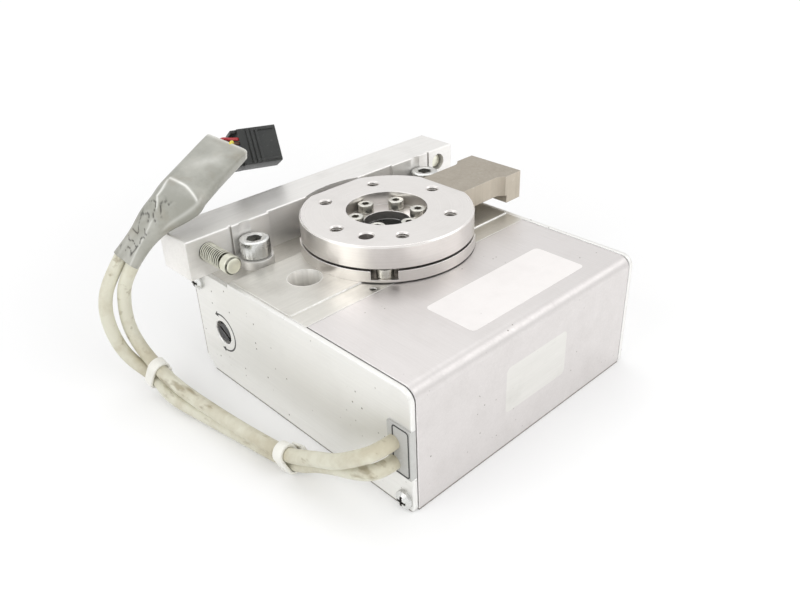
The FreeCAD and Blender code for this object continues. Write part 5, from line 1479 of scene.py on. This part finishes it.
@dataclass
class Casing(SubAssembly):
    """Housing, cover, end plates, gland, and what is stuck or printed on them."""

    sticker: tuple[Triple, Triple] = ((-29.2, -75.7, 52.0), (38.2, -51.3, 52.0))
    label: tuple[Triple, Triple] = ((-21.5, -85.375, 16.0), (15.0, -85.375, 36.5))
    corner: float = 2.2
    film: float = 0.03
    gland: tuple[Triple, Triple] = ((-71.3, -84.9, 16.0), (-71.3, -76.9, 36.3))
    bead_width: float = 0.45
    bead_corner: float = 1.3
    bead_rise: float = 0.15
    mount_at: float = 46.0
    mount_radius: float = 7.0
    mount_depth: float = 8.9
    mount_rim: float = 0.45
    rim_rise: float = 0.03
    band_top: float = 52.5
    override_at: Triple = (-70.4, 29.0, 24.8)
    arc_radius: float = 8.6
    arc_width: float = 0.75
    arc_from: float = 112.0
    arc_to: float = -98.0
    arc_head: float = 1.5

    def build(self) -> None:
        """Dress the sheet metal, then add the films on it."""
        dress(LIT_END_PLATE, "left_side_plate", "right_side_plate")
        dress(ANODISED, "motor_cover")
        dress(HOUSING, "housing")
        dress(GREY_PLASTIC, "cable_gland")
        dress(ZINC, "side_plate_screws")
        self.film_on("top_sticker", self.sticker, Matrix(), PAPER, "white_plastic")
        self.film_on("front_label", self.label, basis(*FRONT_FACE, Vector()), FOIL, "machined_aluminium")
        self.bead()
        self.mount_walls()
        self.arrow()

    def mount_walls(self) -> None:
        """The bored walls and rims of the two mounting holes, painted near-white so that they show lit."""
        radius, top = self.mount_radius, self.band_top
        foot, rim, crest = top - self.mount_depth, radius + self.mount_rim, top + self.rim_rise
        outline = (
            (radius - 0.04, foot), (radius - 0.04, top - 0.2), (radius + 0.05, crest), (rim, crest), (rim, top - 0.1),
            (radius + 0.1, top - 0.3), (radius + 0.1, foot), (radius - 0.04, foot),
        )
        both = bmesh.new()
        for side in (-1, 1):
            merge(both, lathe(outline, 64), shift(side * self.mount_at, 0, 0))
        make_piece("mount_hole_walls", both, LIT_BORED_WALL.material(), "base", mend=False)

    def bead(self) -> None:
        """The dark rubber edge that shows on the gland's face."""
        low, high = (spot(*corner) for corner in self.gland)
        shape = rounded_sheet(high.y - low.y, high.z - low.z, self.bead_corner, 4)
        middle = shape.faces[:]
        bmesh.ops.inset_region(
            shape, faces=middle, thickness=self.bead_width * MM, use_even_offset=True, use_boundary=True
        )
        bmesh.ops.delete(shape, geom=middle, context="FACES")
        raise_faces(shape, shape.faces[:], self.bead_rise)
        shape.transform(basis(*LEFT_FACE, (low + high) / 2))
        make_piece("gland_bead", shape, BELT_RUBBER.material(), "base")

    def film_on(
        self, name: str, corners: tuple[Triple, Triple], turn: Matrix, finish: Finish, slot: str
    ) -> None:
        """A thin film with round corners, flat on a face.

        Args:
            name: Name of the piece.
            corners: Two opposite corners on the face.
            turn: Which way the film faces.
            finish: Its finish.
            slot: Not used.
        """
        low, high = (turn.inverted() @ spot(*corner) for corner in corners)
        centre, span = (low + high) / 2, high - low
        shape = rounded_sheet(span.x, span.y, self.corner, 5)
        raise_faces(shape, shape.faces[:], self.film)
        shape.transform(turn @ Matrix.Translation(centre))
        make_piece(name, shape, finish.material(), "base")

    def arrow(self) -> None:
        """The printed turning arrow about the hand override."""
        shape = bmesh.new()
        start, end = math.radians(self.arc_from), math.radians(self.arc_to)
        inner, outer = self.arc_radius - self.arc_width / 2, self.arc_radius + self.arc_width / 2
        lift = self.film * MM
        edge = [
            shape.verts.new((radius * math.cos(start) * MM, radius * math.sin(start) * MM, lift))
            for radius in (inner, outer)
        ]
        run = shape.edges.new(edge)
        bmesh.ops.spin(
            shape, geom=[*edge, run], cent=(0, 0, 0), axis=(0, 0, 1), dvec=(0, 0, 0), angle=end - start, steps=60,
            use_merge=False,
        )
        for turn, way in ((start, 1), (end, -1)):
            at = Vector((math.cos(turn), math.sin(turn), 0)) * self.arc_radius * MM + Vector((0, 0, lift))
            nose = Matrix.Translation(at) @ Matrix.Rotation(turn + way * math.pi / 2, 4, "Z")
            tip = bmesh.ops.create_circle(shape, cap_ends=True, segments=3, radius=self.arc_head * MM)["verts"]
            bmesh.ops.rotate(shape, cent=(0, 0, 0), matrix=Matrix.Rotation(-math.pi / 2, 3, "Z"), verts=tip)
            bmesh.ops.transform(shape, matrix=nose, verts=tip)
        raise_faces(shape, shape.faces[:], -self.film)
        shape.transform(basis(*LEFT_FACE, spot(*self.override_at)))
        make_piece("override_arrow", shape, PRINT_INK.material(), "base")


@dataclass
class TurningTable(SubAssembly):
    """The table with its screws and tapped holes, and the ring under it."""

    bolt_circle: float = 56.0
    bolt_hole: float = 5.0
    hole_top: float = 67.2
    hole_foot: float = 58.8
    thread_pitch: float = 1.0
    thread_depth: float = 0.32
    screw_circle: float = 27.5
    screw_thread: float = 4.0
    screw_length: float = 11.0
    screw_seat: float = 62.0
    ring_circle: float = 67.4
    ring_screw_length: float = 8.0
    ring_seat: float = 53.5

    def build(self) -> None:
        """Dress the turned pieces and add the screws and threads."""
        dress(TURNED_PLATE, "table")
        dress(TURNED_RING, "bearing_cover_ring")
        self.screws("table_socket_screws", self.screw_circle, 30.0, 6, self.screw_length, self.screw_seat, "table",
                    "table_screws")
        self.screws("ring_socket_screws", self.ring_circle, 45.0, 4, self.ring_screw_length, self.ring_seat, "base",
                    "ring_screws")
        self.threads()

    def screws(
        self, name: str, around: float, first: float, count: int, length: float, seat: float, body: str, node: str
    ) -> None:
        """Socket screws on a circle.

        Args:
            name: Name of the piece.
            around: Diameter of the circle.
            first: Angle of the first screw.
            count: Number of screws.
            length: Length under the head.
            seat: Height of the heads' seat.
            body: The body that they move with.
            node: The solid that they replace.
        """
        whole = bmesh.new()
        for index in range(count):
            place = on_circle(around, first + index * 360.0 / count, seat)
            lie = Matrix.Rotation(0.4 + index * 1.7, 4, "Z")
            merge(whole, cap_screw(self.screw_thread, length), place @ lie)
        make_piece(name, whole, NICKEL_SCREW.material(), body, (node,), mend=False)

    def threads(self) -> None:
        """The thread that shows in each of the six tapped holes."""
        whole = bmesh.new()
        wall, pitch = self.bolt_hole / 2, self.thread_pitch
        section = thread_section(wall + 0.15, wall - self.thread_depth, pitch, 0.44)
        turns = (self.hole_top - self.hole_foot) / pitch - 1.0
        for index in range(6):
            place = on_circle(self.bolt_circle, index * 60.0, self.hole_foot + pitch / 2)
            merge(whole, ridge(section, pitch, turns), place)
        # The thread's finish is a darker copy of the table's: painted shade inside the holes.
        make_piece(
            "table_threads", whole, SHADED_TAPPED_HOLE.material(), "table", mend=False
        )


@dataclass
class StopGear(SubAssembly):
    """The stop bar with its screws and adjusters, and the arm that meets them."""

    screws_at: tuple[float, ...] = (-49.4, 51.8)
    screw_line: float = 28.6
    screw_seat: float = 54.3
    screw_thread: float = 8.0
    screw_length: float = 16.0
    adjuster_at: float = 68.0
    adjuster_height: float = 60.6
    adjusters: tuple[tuple[str, float, float, float], ...] = (
        ("left", -1.0, 15.7, 48.0), ("right", 1.0, 37.0, 25.0),
    )
    thread_pitch: float = 1.25
    thread_root: float = 3.24
    thread_crest: float = 3.98
    tip_plain: float = 4.5
    socket_flats: float = 4.0
    socket_depth: float = 5.0
    nut_back: float = 55.9
    nut_flats: float = 13.0
    nut_thickness: float = 5.0
    nut_corner: float = 0.9
    nut_play: float = 0.12
    arm_screw_line: float = 7.0
    arm_screw_height: float = 63.0
    arm_screw_seat: float = 42.2
    arm_screw_thread: float = 4.0
    arm_screw_length: float = 16.0

    def build(self) -> None:
        """Dress the bar and the arm, then add the screws, the bolts and the nut."""
        dress(MILLED_BAR, "stop_bar")
        dress(NICKEL_ARM, "stop_arm")
        bar = bmesh.new()
        for x in self.screws_at:
            place = shift(x, self.screw_line, self.screw_seat)
            merge(bar, cap_screw(self.screw_thread, self.screw_length), place @ Matrix.Rotation(0.3, 4, "Z"))
        make_piece("bar_socket_screws", bar, ZINC.material(), "base", ("bar_screws",), mend=False)
        arm = bmesh.new()
        for side in (-1, 1):
            place = shift(self.arm_screw_seat, side * self.arm_screw_line, self.arm_screw_height)
            merge(arm, cap_screw(self.arm_screw_thread, self.arm_screw_length), place @ ALONG_X)
        make_piece("arm_socket_screws", arm, ZINC.material(), "table", ("arm_screws",), mend=False)
        for label, side, tip, length in self.adjusters:
            self.adjuster(label, side, tip, length)
        self.nut()

    def adjuster(self, label: str, side: float, tip: float, end: float) -> None:
        """A threaded stop bolt with a plain rounded nose and a socket at its back.

        Args:
            label: Which side it is on.
            side: -1 at the left and 1 at the right.
            tip: Where its nose is along Y.
            end: Its length.
        """
        finish = YELLOW_ZINC if side < 0 else YELLOW_ZINC_RIGHT
        whole = bmesh.new()
        nose = self.tip_plain
        outline = (
            (0.0, 0.0), (2.6, 0.0), (3.3, 0.25), (self.thread_crest, 1.1), (self.thread_crest, nose),
            (self.thread_root, nose + 0.5), (self.thread_root, end - 1.4), (self.thread_crest, end - 1.0),
            (self.thread_crest, end - 0.5), (3.5, end), (2.6, end),
        )
        rod = lathe(outline, 40)
        sink_hexagon(rod, self.socket_flats, end, self.socket_depth)
        merge(whole, rod, Matrix())
        pitch = self.thread_pitch
        section = thread_section(self.thread_root - 0.12, self.thread_crest, pitch, 0.45)
        turns = (end - nose - 1.6) / pitch - 1.0
        merge(whole, ridge(section, pitch, turns), shift(0, 0, nose + 0.5 + pitch / 2))
        whole.transform(shift(side * self.adjuster_at, tip, self.adjuster_height) @ ALONG_Y)
        make_piece(
            f"{label}_stop_bolt", whole, finish.material(), f"{label}_adjuster",
            (f"{label}_adjuster_bolt",), mend=False,
        )

    def nut(self) -> None:
        """The left bolt's lock nut at the bar's back, with chamfered corners."""
        shape = bmesh.new()
        rings = []
        for segments, radius in ((6, self.nut_flats / math.sqrt(3)), (36, self.thread_crest + self.nut_play)):
            rings += circle(shape, segments, radius)[1]
        raise_faces(shape, bmesh.ops.bridge_loops(shape, edges=rings)["faces"], self.nut_thickness)
        outer = [vert for vert in shape.verts if vert.co.xy.length > self.nut_flats / 2 * MM and vert.co.z > MM]
        bevel(shape, outer, self.nut_corner, 2, "VERTICES")
        whole = bmesh.new()
        merge(whole, shape, shift(-self.adjuster_at, self.nut_back, self.adjuster_height) @ ALONG_Y)
        make_piece(
            "lock_nut", whole, YELLOW_ZINC_NUT.material(), "base", ("adjuster_nut",), mend=False
        )


@dataclass
class Workings(SubAssembly):
    """What is inside: shaft, bearings, worm gear, belt and motor."""

    finishes: tuple[tuple[Finish, tuple[str, ...]], ...] = (
        (STEEL, (
            "hollow_shaft", "wheel_key", "upper_bearing_outer_race", "upper_bearing_inner_race",
            "upper_bearing_balls", "lower_bearing_outer_race", "lower_bearing_inner_race", "lower_bearing_balls",
            "worm_bearing_outer_races", "worm_bearing_inner_races", "worm_bearing_balls", "motor_rotor",
            "motor_bearing_outer_races", "motor_bearing_inner_races", "motor_bearing_balls",
        )),
        (TURNED_RING, ("table_spacer", "wheel_spacer", "bearing_retainer", "worm_pulley", "motor_pulley")),
        (HOUSING, ("motor_plate",)),
        (DARK_STEEL, ("worm", "shaft_nut", "worm_retaining_ring", "motor_body", "retainer_screws", "motor_screws")),
        (BRONZE, ("worm_wheel",)),
        (BELT_RUBBER, ("timing_belt",)),
        (BLACK_PLASTIC, ("encoder_cover", "encoder_wheel")),
    )

    def build(self) -> None:
        """Dress each solid."""
        for finish, nodes in self.finishes:
            dress(finish, *nodes)


def main() -> None:
    """Build the scene, piece by piece."""
    logging.basicConfig(level=logging.INFO, format="%(name)s: %(message)s")
    bpy.context.scene.view_settings.view_transform = "Standard"
    for assembly in (Studio(), CableLoom(), Casing(), TurningTable(), StopGear(), Workings()):
        assembly.build()


if __name__ == "__main__":
    main()
